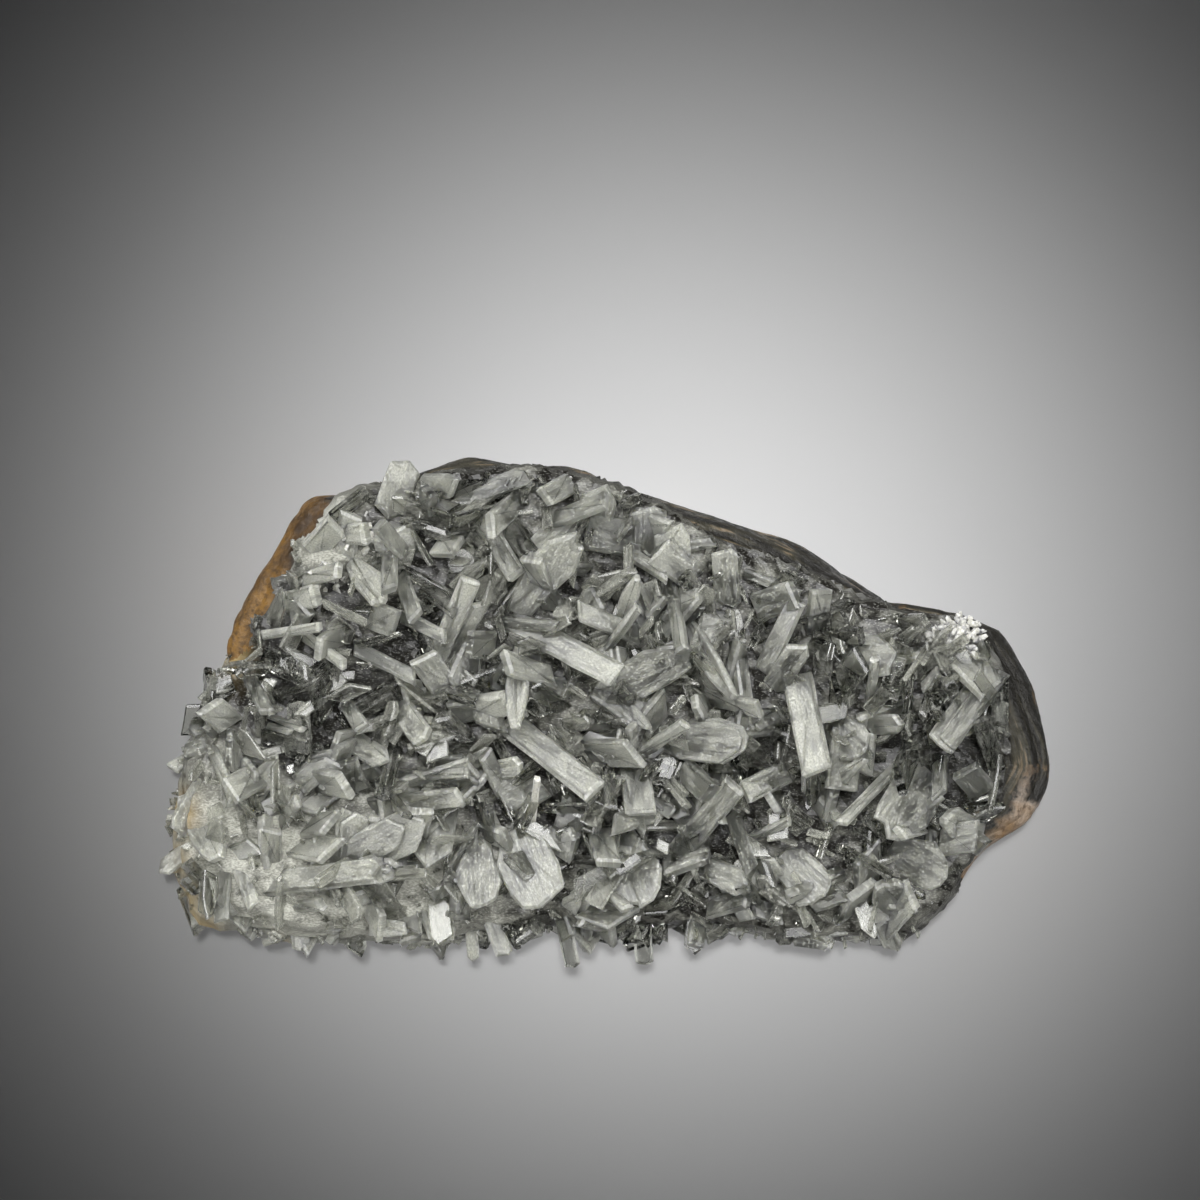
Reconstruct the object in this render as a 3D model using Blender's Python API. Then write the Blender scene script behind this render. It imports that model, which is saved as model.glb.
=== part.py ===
"""Barite specimen: bladed barite crystals grown over a loose slab of banded wall rock.

The slab lies on its flat broken back, +Z up, with the crystals on top and wrapping
over the south and west edges.  Two solids: the wall rock, and the crystals, which are
one intergrown mass.  All sizes below are in millimetres and become metres when an
object is made.
"""

import math
import random

import bmesh
import bpy
from mathutils import Matrix, Vector, noise
from mathutils.bvhtree import BVHTree

MM = 0.001

# Driving dimensions
ROCK_TOP = 19.0  # height of the rock's upper face
ROCK_BELLY = 8.5  # height at which the rock is widest
ROCK_UNDERCUT = 3.0  # how far the rounded underside would reach below the flat back
ROCK_EDGE_FULLNESS = 0.42  # lower is squarer in section
ROCK_ROUGHNESS = 1.5
ROCK_TRIANGLE_SHARE = 0.145
TOP_ROUGHNESS = 0.7
CRUST_THICKNESS = 1.7
CRUST_ROUGHNESS = 0.7
CRUST_LOW_EDGE = 6.5  # lowest point of the crust, at its south-west corner
CRUST_RISE_NORTH = 0.08  # slope of the crust's lower edge
CRUST_RISE_EAST = 0.035
CLEARANCE = 0.35  # gap between the rock and the crystal mass
FOOT_HEIGHT = 1.0  # a blade's foot sits this far above the rock, inside the crust
FULL_OUTLINE_WIDTH = 2.5  # narrower blades than this have plainer ends
LIFT = 1.6  # least height of a blade's tip over the crust's base, along its whole run
FILL_BLADES = 86
FILL_TRIALS = 20  # places tried for each, of which the emptiest is taken
FILL_OVERHANG = 2.4  # how far a filling blade may pass the rock's rim
SKIRT_BLADES = 24
SKIRT_REACH = 3.2  # how far a skirt blade may stand out from the wall
SKIRT_ARC = (178.0, 318.0)  # bearings between which the edge is overgrown, in degrees
UPPER_FACE_SHARE = 0.84  # a tablet's upper face against its lower
SEED = 4107

# Plan of the rock at its widest, clockwise from the west, x and y
ROCK_PLAN = [
    (-47.5, 4.0), (-46.2, 7.8), (-44.8, 13.4), (-42.4, 17.8), (-39.4, 22.2), (-36.5, 26.2),
    (-32.8, 27.5), (-28.0, 28.6), (-20.0, 31.0), (-12.5, 31.9), (-5.6, 31.2), (0.0, 29.6),
    (10.0, 25.9), (17.5, 23.6), (25.0, 20.1), (32.5, 16.4), (35.8, 14.3), (45.0, 12.5),
    (51.0, 10.2), (54.2, 4.2), (56.2, -4.0), (56.6, -7.6), (54.4, -13.6), (48.8, -16.7),
    (46.2, -20.4), (45.4, -22.8), (40.6, -27.2), (37.4, -28.4), (25.0, -27.0), (8.0, -26.6),
    (-8.0, -26.4), (-24.0, -27.4), (-40.0, -27.4), (-49.6, -25.4), (-53.0, -20.0),
    (-52.4, -12.0), (-49.8, -3.0),
]

# Plan of the crust: inside the rock's rim on the north and east, past it elsewhere
CRUST_PLAN = [
    (-51.5, 3.0), (-46.6, 7.6), (-42.3, 12.8), (-40.8, 16.6), (-37.6, 20.8), (-34.8, 24.4),
    (-31.9, 26.4), (-28.0, 27.6), (-21.0, 29.2), (-12.5, 30.4), (-5.0, 29.8),
    (5.0, 26.6), (9.0, 24.4), (12.5, 22.0), (22.5, 18.6), (32.5, 14.2), (38.0, 12.2),
    (44.0, 11.2), (48.0, 9.0), (50.4, 4.0), (51.0, -4.0), (50.2, -9.6), (48.4, -13.0),
    (47.4, -16.6), (45.0, -19.4), (44.4, -22.4), (40.0, -26.2), (36.0, -33.0),
    (-52.0, -33.0), (-58.0, -26.0), (-58.0, -8.0),
]

# The large blades: foot x, foot y, tip x, tip y, height of the tip above the rock,
# width, thickness, turn about the long axis in degrees (0 shows the broad face upwards)
LARGE_BLADES = {
    "crown tip": (-26.9, 24.0, -24.2, 31.4, 5.0, 4.2, 1.6, 20),
    "crown plate": (-22.4, 28.2, -17.6, 28.1, 4.5, 3.2, 1.1, 10),
    "brow lath": (-18.5, 25.8, -9.1, 29.8, 5.5, 2.8, 1.1, -25),
    "twin lath west": (-15.0, 24.3, -10.3, 16.8, 7.0, 2.6, 1.2, 15),
    "twin lath east": (-12.5, 24.2, -8.4, 19.0, 5.0, 2.5, 1.1, -10),
    "milky plate": (-11.0, 12.3, -3.3, 22.0, 9.0, 5.6, 1.5, 12),
    "north hexagon": (-1.0, 22.6, 0.2, 28.6, 5.5, 4.6, 1.1, -8),
    "west mast": (-21.3, 5.0, -16.0, 16.5, 8.5, 2.7, 1.3, 10),
    "west mast shadow": (-18.8, 6.3, -14.6, 14.0, 5.0, 2.2, 1.0, 35),
    "cross bar": (-12.8, 11.3, -5.0, 10.6, 6.0, 1.5, 1.0, 30),
    "long lath": (-11.2, 11.4, 2.0, 4.5, 8.5, 3.4, 1.3, -12),
    "broad blade": (-0.5, 1.5, 11.0, 8.0, 7.0, 5.2, 1.2, 15),
    "upright lath": (-9.9, 8.4, -10.5, -2.0, 7.0, 3.4, 1.1, 20),
    "great lath": (-11.8, -1.2, -0.7, -9.8, 9.5, 3.6, 1.6, -18),
    "needle": (-8.6, -14.3, -7.8, -8.0, 9.0, 0.9, 0.8, 0),
    "short lath": (2.6, 1.5, 6.0, -1.9, 6.5, 1.9, 1.1, 20),
    "east mast": (8.6, 17.4, 10.0, 7.4, 8.0, 1.8, 1.4, 35),
    "bowed lath": (11.0, 11.6, 16.6, 1.8, 8.5, 3.1, 1.3, 22),
    "steep lath": (20.3, 5.0, 24.3, 13.8, 8.0, 2.6, 1.2, -20),
    "steep twin": (21.3, 2.8, 25.0, 8.6, 6.0, 3.2, 1.0, 15),
    "square lath": (24.6, 4.4, 26.6, -7.3, 9.0, 3.9, 1.5, 8),
    "roof plate": (16.0, 13.0, 15.3, 20.4, 5.5, 3.4, 1.1, -18),
    "roof strip": (17.8, 17.4, 24.8, 14.5, 5.5, 1.3, 1.0, 30),
    "east lath": (49.6, 5.6, 41.8, -4.0, 7.5, 4.0, 1.6, 15),
    "east needle": (41.0, 2.8, 39.7, -0.7, 5.5, 1.1, 1.0, 0),
    "rim lath": (49.8, 4.6, 49.6, -3.0, 4.0, 2.4, 1.3, -20),
    "east slip": (42.4, -5.6, 42.0, -11.0, 5.0, 1.9, 1.1, 30),
    "east milky": (47.6, -15.4, 42.6, -13.2, 4.5, 4.0, 1.3, 10),
    "east fan": (40.8, -7.2, 35.6, -15.4, 6.0, 7.2, 1.1, -12),
    "slim east": (37.5, -6.2, 29.5, -13.8, 8.0, 1.5, 1.1, 40),
    "wedge": (26.9, -10.6, 32.9, -5.8, 7.0, 2.2, 1.1, -30),
    "east plate": (28.5, -0.8, 33.0, -5.2, 5.0, 5.0, 1.0, 5),
    "little plate": (33.4, -1.7, 37.4, -1.3, 6.0, 2.5, 1.0, 10),
    "mirror lath": (30.1, -17.1, 35.7, -20.0, 7.5, 1.3, 1.0, -5),
    "corner fan": (36.2, -16.6, 43.0, -21.2, 5.0, 6.4, 1.1, 18),
    "corner plate": (38.0, -26.0, 34.8, -20.8, 5.5, 4.4, 1.1, -15),
    "south slip": (15.5, -21.4, 18.6, -26.4, 6.0, 2.0, 1.1, 20),
    "south shelf": (12.3, -19.0, 18.6, -21.8, 6.5, 3.4, 1.2, 5),
    "south grey": (22.4, -17.8, 28.2, -23.0, 5.0, 6.0, 1.1, -10),
    "cross lath": (9.7, -17.4, 16.6, -8.8, 8.5, 3.3, 1.5, 15),
    "glint edge": (18.2, -16.0, 23.6, -13.2, 7.0, 1.2, 1.0, 25),
    "mid plate": (4.0, -5.6, 5.0, -12.6, 6.5, 4.0, 1.1, 12),
    "mid lath": (0.8, -5.0, 1.2, -12.1, 7.0, 1.8, 1.1, -30),
    "south fan": (2.9, -15.2, 5.6, -24.2, 6.5, 6.2, 1.2, 10),
    "south bar": (-2.0, -19.6, 3.5, -24.6, 7.5, 1.6, 1.2, -35),
    "window plate": (-11.0, -14.6, -6.9, -24.2, 8.0, 7.2, 1.3, 8),
    "window twin": (-15.3, -15.6, -15.0, -24.4, 6.5, 5.4, 1.2, -12),
    "outlined plate": (-20.0, -11.0, -21.2, -19.4, 6.0, 5.2, 1.0, 15),
    "great plate": (-33.8, -20.2, -22.0, -12.9, 8.5, 5.9, 1.5, 10),
    "south-west lath": (-42.4, -21.6, -26.5, -19.4, 8.0, 3.4, 1.5, -15),
    "wing": (-29.2, -11.8, -17.0, -10.3, 8.0, 2.6, 1.1, 25),
    "stacked lath": (-27.8, -10.0, -16.0, -6.2, 6.5, 1.7, 1.1, 30),
    "stacked twin": (-25.8, -8.2, -16.2, -7.4, 7.5, 1.4, 1.0, -20),
    "west plate": (-25.2, 1.0, -21.7, -3.4, 6.5, 3.2, 1.1, 15),
    "west flake": (-31.2, -3.6, -26.4, -6.3, 5.5, 3.0, 1.0, -15),
    "west chip": (-31.9, 1.3, -29.4, -2.2, 5.5, 2.0, 1.0, 20),
    "west bridge": (-42.4, -3.0, -35.9, -4.3, 5.5, 2.2, 1.1, 25),
    "sliver": (-41.4, -0.5, -36.7, -2.2, 6.5, 0.9, 0.8, 0),
    "sliver twin": (-41.6, -1.7, -38.3, -2.5, 6.0, 0.9, 0.8, 15),
    "west white": (-44.2, 4.6, -41.2, -0.3, 6.5, 1.9, 1.1, -15),
    "white edge": (-36.9, 9.4, -31.7, 5.9, 6.5, 1.5, 1.0, 30),
    "white bar": (-42.2, 9.6, -34.7, 10.6, 6.0, 1.3, 1.1, 10),
    "white block": (-39.4, 13.6, -35.2, 14.5, 5.0, 3.0, 1.5, 5),
    "white frame": (-37.0, 16.4, -32.4, 17.6, 5.5, 2.2, 1.2, -20),
    "white cluster": (-34.4, 22.6, -29.0, 22.1, 5.5, 3.0, 1.4, 15),
    "white cluster twin": (-32.0, 18.8, -30.9, 24.6, 5.0, 3.0, 1.3, -10),
    "chalk plate": (-31.0, 18.8, -26.8, 13.8, 6.0, 3.7, 1.4, 12),
    "clear lath": (-25.0, 17.2, -22.7, 11.4, 6.5, 2.2, 1.1, 15),
    "spark lath": (-22.1, 15.6, -17.7, 12.4, 7.0, 2.2, 1.1, -20),
    "pale arm": (-25.2, 12.1, -18.9, 9.2, 6.0, 1.8, 1.0, 20),
    "low arm": (-31.2, 8.1, -22.4, 4.0, 6.5, 1.9, 1.1, -15),
    "ragged plate": (-42.3, 7.0, -36.0, 4.2, 5.5, 3.0, 1.0, 15),
    "bow edge": (-40.4, 1.9, -34.7, 3.8, 7.0, 1.0, 0.9, 30),
    "glassy plate": (-51.0, -13.6, -47.2, -18.1, 6.0, 4.0, 1.2, 10),
    "west column": (-46.3, -13.4, -47.3, -26.6, 7.0, 1.9, 1.2, 20),
    "yellow plate": (-49.2, -8.8, -52.6, -15.8, 4.5, 4.5, 1.2, -15),
    "south-west rib": (-45.9, -18.2, -43.0, -24.6, 6.0, 1.9, 1.1, -20),
    "south-west edge": (-53.0, -22.0, -50.4, -28.2, 3.5, 2.0, 1.3, 15),
    "blue plate": (-23.8, -22.0, -23.4, -28.0, 6.0, 2.4, 1.2, 10),
    "south milky": (-21.9, -22.4, -19.4, -29.0, 4.5, 3.6, 1.2, -10),
    "south white": (-30.0, -27.0, -24.6, -26.8, 5.0, 2.0, 1.4, 10),
    "pale bar": (-38.9, -24.4, -34.4, -23.7, 6.0, 1.7, 1.2, 15),
    "side glass": (-49.3, -3.2, -45.5, -11.0, 5.5, 1.7, 1.0, 30),
    "slanted slip": (-40.4, -15.0, -37.2, -10.6, 5.5, 1.7, 1.0, -25),
    "low plate": (-14.2, -7.5, -9.7, -6.5, 5.0, 2.6, 1.0, 10),
    "glitter bar": (-8.2, -12.0, -1.2, -11.8, 6.0, 1.5, 1.1, 20),
    "fan plate": (7.6, -2.9, 18.2, -4.0, 8.0, 5.4, 1.3, -10),
    "slotted lath": (2.2, -7.0, 10.6, -1.2, 7.0, 1.7, 1.1, 30),
    "spark column": (33.5, 1.2, 33.9, 6.9, 6.5, 1.3, 1.1, 10),
    "pale roof": (6.0, 19.0, 6.0, 25.6, 5.0, 4.4, 1.1, 12),
    "pale roof twin": (9.2, 17.8, 8.8, 23.6, 5.0, 4.6, 1.2, -14),
    "white leaf": (2.4, 11.7, 4.5, 16.8, 7.0, 2.5, 1.1, 10),
    "thin pair": (0.0, 6.8, 4.9, 13.3, 7.5, 1.3, 1.0, 35),
    "east block": (30.0, 7.6, 36.8, 6.6, 4.5, 5.4, 1.2, -8),
    "north-east chip": (26.6, 12.4, 31.0, 10.6, 4.0, 3.2, 1.1, 10),
}

# Blades whose tips hang past the overgrown south edge: the same columns, but the
# height is the tip's own height above the base
HANGING_TIPS = {
    "south tip 1": (-16.4, -26.0, -15.9, -31.5, 14.5, 1.5, 1.1, 10),
    "south tip 2": (-14.0, -25.4, -12.0, -30.8, 16.0, 2.3, 1.2, -15),
    "south tip 3": (-11.0, -24.8, -9.3, -29.2, 15.0, 1.8, 1.1, 20),
    "south tip 4": (-4.8, -25.4, -3.4, -32.2, 17.0, 2.0, 1.2, 10),
    "south tip 5": (-1.2, -25.8, -2.2, -30.3, 13.0, 1.7, 1.1, 30),
    "south tip 6": (5.0, -25.6, 5.5, -31.9, 15.5, 2.3, 1.2, -10),
    "south tip 7": (12.0, -25.4, 11.6, -30.6, 14.0, 2.4, 1.2, 20),
    "south tip 8": (-31.0, -26.2, -30.4, -31.0, 15.0, 2.6, 1.4, 10),
    "south tip 9": (-38.0, -26.2, -37.6, -30.2, 15.0, 2.4, 1.3, -15),
    "south tip 10": (-44.0, -25.2, -44.2, -29.0, 15.5, 2.2, 1.2, 20),
    "south tip 11": (22.6, -25.6, 23.4, -29.4, 14.5, 2.4, 1.2, -20),
    "south tip 12": (35.0, -26.0, 37.2, -30.2, 14.0, 2.6, 1.2, 15),
    "west tip 1": (-51.0, -17.0, -55.6, -20.4, 14.0, 2.4, 1.2, 20),
    "west tip 2": (-50.0, -11.0, -53.6, -12.4, 15.0, 2.8, 1.2, -10),
    "west tip 3": (-48.6, -4.0, -52.4, -5.6, 14.5, 2.6, 1.2, 25),
    "west tip 4": (-47.6, 0.6, -50.4, 1.0, 15.0, 2.4, 1.2, 10),
}


def clear_scene():
    for old in list(bpy.data.objects):
        bpy.data.objects.remove(old)


def new_collection(name):
    made = bpy.data.collections.new(name)
    bpy.context.scene.collection.children.link(made)
    return made


def principled(name, colour, roughness):
    material = bpy.data.materials.new(name)
    material.use_nodes = True
    shader = material.node_tree.nodes["Principled BSDF"]
    shader.inputs["Base Color"].default_value = (*colour, 1.0)
    shader.inputs["Roughness"].default_value = roughness
    return material


def object_from(bm, name, collection, material=None):
    """Turns a bmesh in millimetres into an object in metres."""
    bmesh.ops.scale(bm, vec=(MM, MM, MM), verts=bm.verts)
    mesh = bpy.data.meshes.new(name)
    bm.to_mesh(mesh)
    bm.free()
    if material:
        mesh.materials.append(material)
    made = bpy.data.objects.new(name, mesh)
    collection.objects.link(made)
    return made


def hide_helper(helper):
    helper.hide_render = True
    helper.display_type = "WIRE"


def reach(plan, angle):
    """Distance from the origin to a plan's outline in one direction."""
    ray = Vector((math.cos(angle), math.sin(angle)))
    best = 0.0
    for (ax, ay), (bx, by) in zip(plan, plan[1:] + plan[:1]):
        start, edge = Vector((ax, ay)), Vector((bx - ax, by - ay))
        across = ray.cross(edge)
        if abs(across) < 1e-9:
            continue
        along = start.cross(edge) / across
        share = start.cross(ray) / across
        if along > 0 and -1e-6 <= share <= 1 + 1e-6:
            best = max(best, along)
    return best


def rock_bmesh():
    """A rounded slab whose plan follows ROCK_PLAN, roughened and cut flat underneath."""
    bm = bmesh.new()
    bmesh.ops.create_icosphere(bm, subdivisions=5, radius=1.0)
    for vert in bm.verts:
        unit = vert.co.normalized()
        level = math.hypot(unit.x, unit.y)
        angle = math.atan2(unit.y, unit.x)
        spread = level ** ROCK_EDGE_FULLNESS
        height = math.copysign(abs(unit.z) ** ROCK_EDGE_FULLNESS, unit.z)
        room = ROCK_TOP - ROCK_BELLY if height > 0 else ROCK_BELLY + ROCK_UNDERCUT
        out = reach(ROCK_PLAN, angle) * spread
        vert.co = Vector((math.cos(angle) * out, math.sin(angle) * out, ROCK_BELLY + height * room))
    bm.normal_update()
    for vert in bm.verts:
        place = vert.co.copy()
        broken = noise.turbulence(place / 13.0, 3, False) - 0.3
        ledge = noise.noise(Vector((place.x / 30.0, place.y / 30.0, place.z / 2.6)))
        side = 1.0 - abs(vert.normal.z)
        roughness = TOP_ROUGHNESS + (ROCK_ROUGHNESS - TOP_ROUGHNESS) * side
        vert.co = place + vert.normal * (roughness * broken + 0.5 * side * ledge)
    whole = bm.verts[:] + bm.edges[:] + bm.faces[:]
    bmesh.ops.bisect_plane(
        bm, geom=whole, plane_co=(0, 0, 0), plane_no=(0, 0, -1), clear_outer=True
    )
    rim = [edge for edge in bm.edges if edge.is_boundary]
    bmesh.ops.holes_fill(bm, edges=rim)
    return bm


def thinned(source, share, collection):
    """A copy of the object with only this share of its triangles, as flat broken facets."""
    reduce = source.modifiers.new("facets", "DECIMATE")
    reduce.ratio = share
    reduce.use_collapse_triangulate = True
    graph = bpy.context.evaluated_depsgraph_get()
    mesh = bpy.data.meshes.new_from_object(source.evaluated_get(graph))
    name = source.name
    bpy.data.objects.remove(source)
    mesh.name = name
    made = bpy.data.objects.new(name, mesh)
    collection.objects.link(made)
    return made


def flatten_back(rock):
    """The few corners that the thinning lifted off the back go down to it again."""
    for vert in rock.data.vertices:
        if vert.co.z < 0.4 * MM:
            vert.co.z = 0.0


def swollen(rock, distance, roughness, name, collection):
    """The rock's own skin moved outwards, used for the crust and for the gap under it."""
    bm = bmesh.new()
    bm.from_mesh(rock.data)
    bmesh.ops.scale(bm, vec=(1 / MM, 1 / MM, 1 / MM), verts=bm.verts)
    bm.normal_update()
    for vert in bm.verts:
        uneven = noise.noise(vert.co / 2.7) * roughness
        vert.co += vert.normal * (distance + uneven)
    return object_from(bm, name, collection)


def low_edge(x, y):
    """Height of the crust's lower edge: it hangs lowest in the south-west."""
    west, south = min(px for px, py in CRUST_PLAN), min(py for px, py in CRUST_PLAN)
    return CRUST_LOW_EDGE + CRUST_RISE_EAST * (x - west) + CRUST_RISE_NORTH * (y - south)


def crust_prism(collection):
    """The upright prism that says where the rock is overgrown."""
    bm = bmesh.new()
    corners = [bm.verts.new((x, y, low_edge(x, y))) for x, y in reversed(CRUST_PLAN)]
    face = bm.faces.new(corners)
    raised = bmesh.ops.extrude_face_region(bm, geom=[face])
    top = [item for item in raised["geom"] if isinstance(item, bmesh.types.BMVert)]
    bmesh.ops.translate(bm, vec=(0, 0, 3 * ROCK_TOP), verts=top)
    bmesh.ops.recalc_face_normals(bm, faces=bm.faces)
    return object_from(bm, "overgrown area", collection)


def tablet(foot, tip, width, thickness, turn, outline, name, collection):
    """One tabular crystal between two points, its upper face a little smaller than its lower.

    The outline lists the corners of its broad face, x as a share of half the width and
    y as a distance from the nearer end as a share of the width (positive at the tip).
    """
    length = (tip - foot).length
    bm = bmesh.new()
    bmesh.ops.create_cone(
        bm, cap_ends=True, segments=len(outline), radius1=1.0, radius2=1.0, depth=thickness
    )
    bm.verts.ensure_lookup_table()
    for level, shrink in ((-1, 1.0), (1, UPPER_FACE_SHARE)):
        ring = [vert for vert in bm.verts if vert.co.z * level > 0]
        ring.sort(key=lambda vert: math.atan2(vert.co.y, vert.co.x) % math.tau)
        for vert, (across, end, inset) in zip(ring, outline):
            vert.co.x = across * shrink * width / 2
            vert.co.y = end * (length / 2 - (inset + (1 - shrink) / 2) * width)
    along = (tip - foot).normalized()
    up = Vector((0, 0, 1)) - along * along.z
    if up.length < 0.05:
        up = Vector((1, 0, 0)) - along * along.x
    facing = Matrix.Rotation(math.radians(turn), 3, along) @ up.normalized()
    axes = Matrix((along.cross(facing), along, facing)).transposed()
    place = Matrix.Translation((foot + tip) / 2) @ axes.to_4x4()
    bmesh.ops.transform(bm, matrix=place, verts=bm.verts)
    return object_from(bm, name, collection)


def chisel_outline(chance):
    """Six corners: an oblique point at the tip and a blunt one at the foot."""
    lean = chance.uniform(-0.6, 0.6)
    point = chance.uniform(0.12, 0.55)
    return [(1, 1, point), (lean, 1, 0), (-1, 1, point), (-1, -1, 0.25), (lean, -1, 0), (1, -1, 0.25)]


def sheared_outline(chance):
    """Four corners: both ends cut off obliquely, the same way."""
    skew = chance.uniform(0.1, 0.7)
    if chance.random() < 0.5:
        return [(1, 1, skew), (-1, 1, 0), (-1, -1, skew), (1, -1, 0)]
    return [(1, 1, 0), (-1, 1, skew), (-1, -1, 0), (1, -1, skew)]


def inside(plan, x, y, margin):
    return math.hypot(x, y) < reach(plan, math.atan2(y, x)) - margin


def plan_distance(x, y, lines):
    """Distance in plan from a point to the nearest of the blades placed so far."""
    point = Vector((x, y))
    nearest = 1000.0
    for (ax, ay), (bx, by) in lines:
        start, run = Vector((ax, ay)), Vector((bx - ax, by - ay))
        share = max(0.0, min(1.0, (point - start).dot(run) / max(run.length_squared, 1e-6)))
        nearest = min(nearest, (point - start - run * share).length)
    return nearest


def lifted(foot, tip, height_at):
    """The tip, raised where the rock bulges up between it and the foot."""
    needed = tip.z
    for share in (0.3, 0.5, 0.75, 1.0):
        here = foot.lerp(tip, share)
        clear = height_at(here.x, here.y) + FOOT_HEIGHT + LIFT * share
        needed = max(needed, foot.z + (clear - foot.z) / share)
    return Vector((tip.x, tip.y, needed))


def large_blades(height_at, collection):
    """The blades of the table, standing on the rock; returns their lines in plan."""
    lines = []
    for name, row in LARGE_BLADES.items():
        foot_x, foot_y, tip_x, tip_y, rise, width, thickness, turn = row
        foot = Vector((foot_x, foot_y, height_at(foot_x, foot_y) + FOOT_HEIGHT))
        tip = lifted(foot, Vector((tip_x, tip_y, height_at(tip_x, tip_y) + rise)), height_at)
        ends = chisel_outline if width >= FULL_OUTLINE_WIDTH else sheared_outline
        outline = ends(random.Random(name))
        tablet(foot, tip, width, thickness, turn, outline, name, collection)
        lines.append(((foot_x, foot_y), (tip_x, tip_y)))
    return lines


def hanging_tips(height_at, collection):
    for name, row in HANGING_TIPS.items():
        foot_x, foot_y, tip_x, tip_y, tip_height, width, thickness, turn = row
        foot = Vector((foot_x, foot_y, height_at(foot_x, foot_y) + FOOT_HEIGHT))
        tip = Vector((tip_x, tip_y, tip_height))
        outline = chisel_outline(random.Random(name))
        tablet(foot, tip, width, thickness, turn, outline, name, collection)


def fill_blades(height_at, lines, collection):
    """Smaller and steeper blades, each placed where the mat is still emptiest."""
    chance = random.Random(SEED)
    west, east = min(x for x, y in CRUST_PLAN), max(x for x, y in CRUST_PLAN)
    south, north = min(y for x, y in CRUST_PLAN), max(y for x, y in CRUST_PLAN)
    for number in range(FILL_BLADES):
        best, spread = None, -1.0
        for trial in range(FILL_TRIALS):
            x, y = chance.uniform(west, east), chance.uniform(south, north)
            if not inside(CRUST_PLAN, x, y, 0.5) or not inside(ROCK_PLAN, x, y, 1.0):
                continue
            empty = plan_distance(x, y, lines)
            if empty > spread:
                best, spread = (x, y), empty
        length = chance.uniform(6.0, 10.5)
        steep = math.radians(chance.uniform(18, 62))
        heading = chance.uniform(0, math.tau)
        width, thickness = chance.uniform(1.8, 4.2), chance.uniform(0.9, 1.4)
        turn = chance.uniform(-60, 60)
        outline = sheared_outline(chance)
        if best is None:
            continue
        x, y = best
        flat = math.cos(steep) * length
        run = Vector((math.cos(heading) * flat, math.sin(heading) * flat, math.sin(steep) * length))
        end_x, end_y = x + run.x, y + run.y
        if not inside(CRUST_PLAN, end_x, end_y, 0.0) or not inside(ROCK_PLAN, end_x, end_y, -FILL_OVERHANG):
            run.x, run.y = -run.x, -run.y
        foot = Vector((x, y, height_at(x, y) + FOOT_HEIGHT))
        tip = lifted(foot, foot + run, height_at)
        tablet(foot, tip, width, thickness, turn, outline, f"fill {number}", collection)
        lines.append(((x, y), (x + run.x, y + run.y)))


def skirt_blades(wall_at, collection):
    """Blades that stand out of the crust where it wraps over the south and west edges."""
    chance = random.Random(SEED + 1)
    start, end = SKIRT_ARC
    for number in range(SKIRT_BLADES):
        share = (number + chance.random()) / SKIRT_BLADES
        angle = math.radians(start + (end - start) * share)
        out = Vector((math.cos(angle), math.sin(angle), 0))
        rim = out * reach(ROCK_PLAN, angle)
        height = chance.uniform(low_edge(rim.x, rim.y) + 1.5, ROCK_TOP - 2.5)
        wall = wall_at(out, height)
        side = Vector((-out.y, out.x, 0))
        aim = out + side * chance.uniform(-1.4, 1.4) + Vector((0, 0, chance.uniform(-0.3, 1.4)))
        aim.normalize()
        length = min(chance.uniform(3.6, 5.2), SKIRT_REACH / aim.dot(out))
        width, thickness = chance.uniform(2.0, 3.8), chance.uniform(0.9, 1.3)
        turn = chance.uniform(-80, 80)
        foot = wall + out * 0.6
        tip = foot + aim * length
        outline = sheared_outline(chance)
        tablet(foot, tip, width, thickness, turn, outline, f"skirt {number}", collection)


def build():
    clear_scene()
    specimen = new_collection("barite specimen")
    helpers = new_collection("cutters and guides")
    rock_finish = principled("banded wall rock", (0.09, 0.075, 0.055), 0.75)
    crystal_finish = principled("clear grey barite", (0.62, 0.65, 0.62), 0.18)

    raw = object_from(rock_bmesh(), "matrix_rock", helpers)
    rock = thinned(raw, ROCK_TRIANGLE_SHARE, specimen)
    flatten_back(rock)
    rock.data.materials.append(rock_finish)

    tree = BVHTree.FromObject(rock, bpy.context.evaluated_depsgraph_get())

    def height_at(x, y):
        hit = tree.ray_cast(Vector((x, y, 100)) * MM, Vector((0, 0, -1)))[0]
        return hit.z / MM if hit else ROCK_BELLY

    def wall_at(out, height):
        hit = tree.ray_cast((out * 100 + Vector((0, 0, height))) * MM, -out)[0]
        return hit / MM

    crystals = swollen(rock, CRUST_THICKNESS, CRUST_ROUGHNESS, "barite_crystals", specimen)
    crystals.data.materials.append(crystal_finish)
    area = crust_prism(helpers)
    hide_helper(area)
    keep = crystals.modifiers.new("overgrown area only", "BOOLEAN")
    keep.operation = "INTERSECT"
    keep.object = area

    blades = bpy.data.collections.new("blades")
    helpers.children.link(blades)
    lines = large_blades(height_at, blades)
    hanging_tips(height_at, blades)
    fill_blades(height_at, lines, blades)
    skirt_blades(wall_at, blades)
    for helper in blades.objects:
        hide_helper(helper)
    grow = crystals.modifiers.new("grow the blades", "BOOLEAN")
    grow.operation = "UNION"
    grow.operand_type = "COLLECTION"
    grow.collection = blades

    gap = swollen(rock, CLEARANCE, 0.0, "gap over the rock", helpers)
    hide_helper(gap)
    clear = crystals.modifiers.new("clear the rock", "BOOLEAN")
    clear.operation = "DIFFERENCE"
    clear.object = gap


build()
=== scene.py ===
import math
import random
from bisect import bisect_left

import bmesh
import bpy
from mathutils import Matrix, Vector, noise
from mathutils.bvhtree import BVHTree


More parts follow.
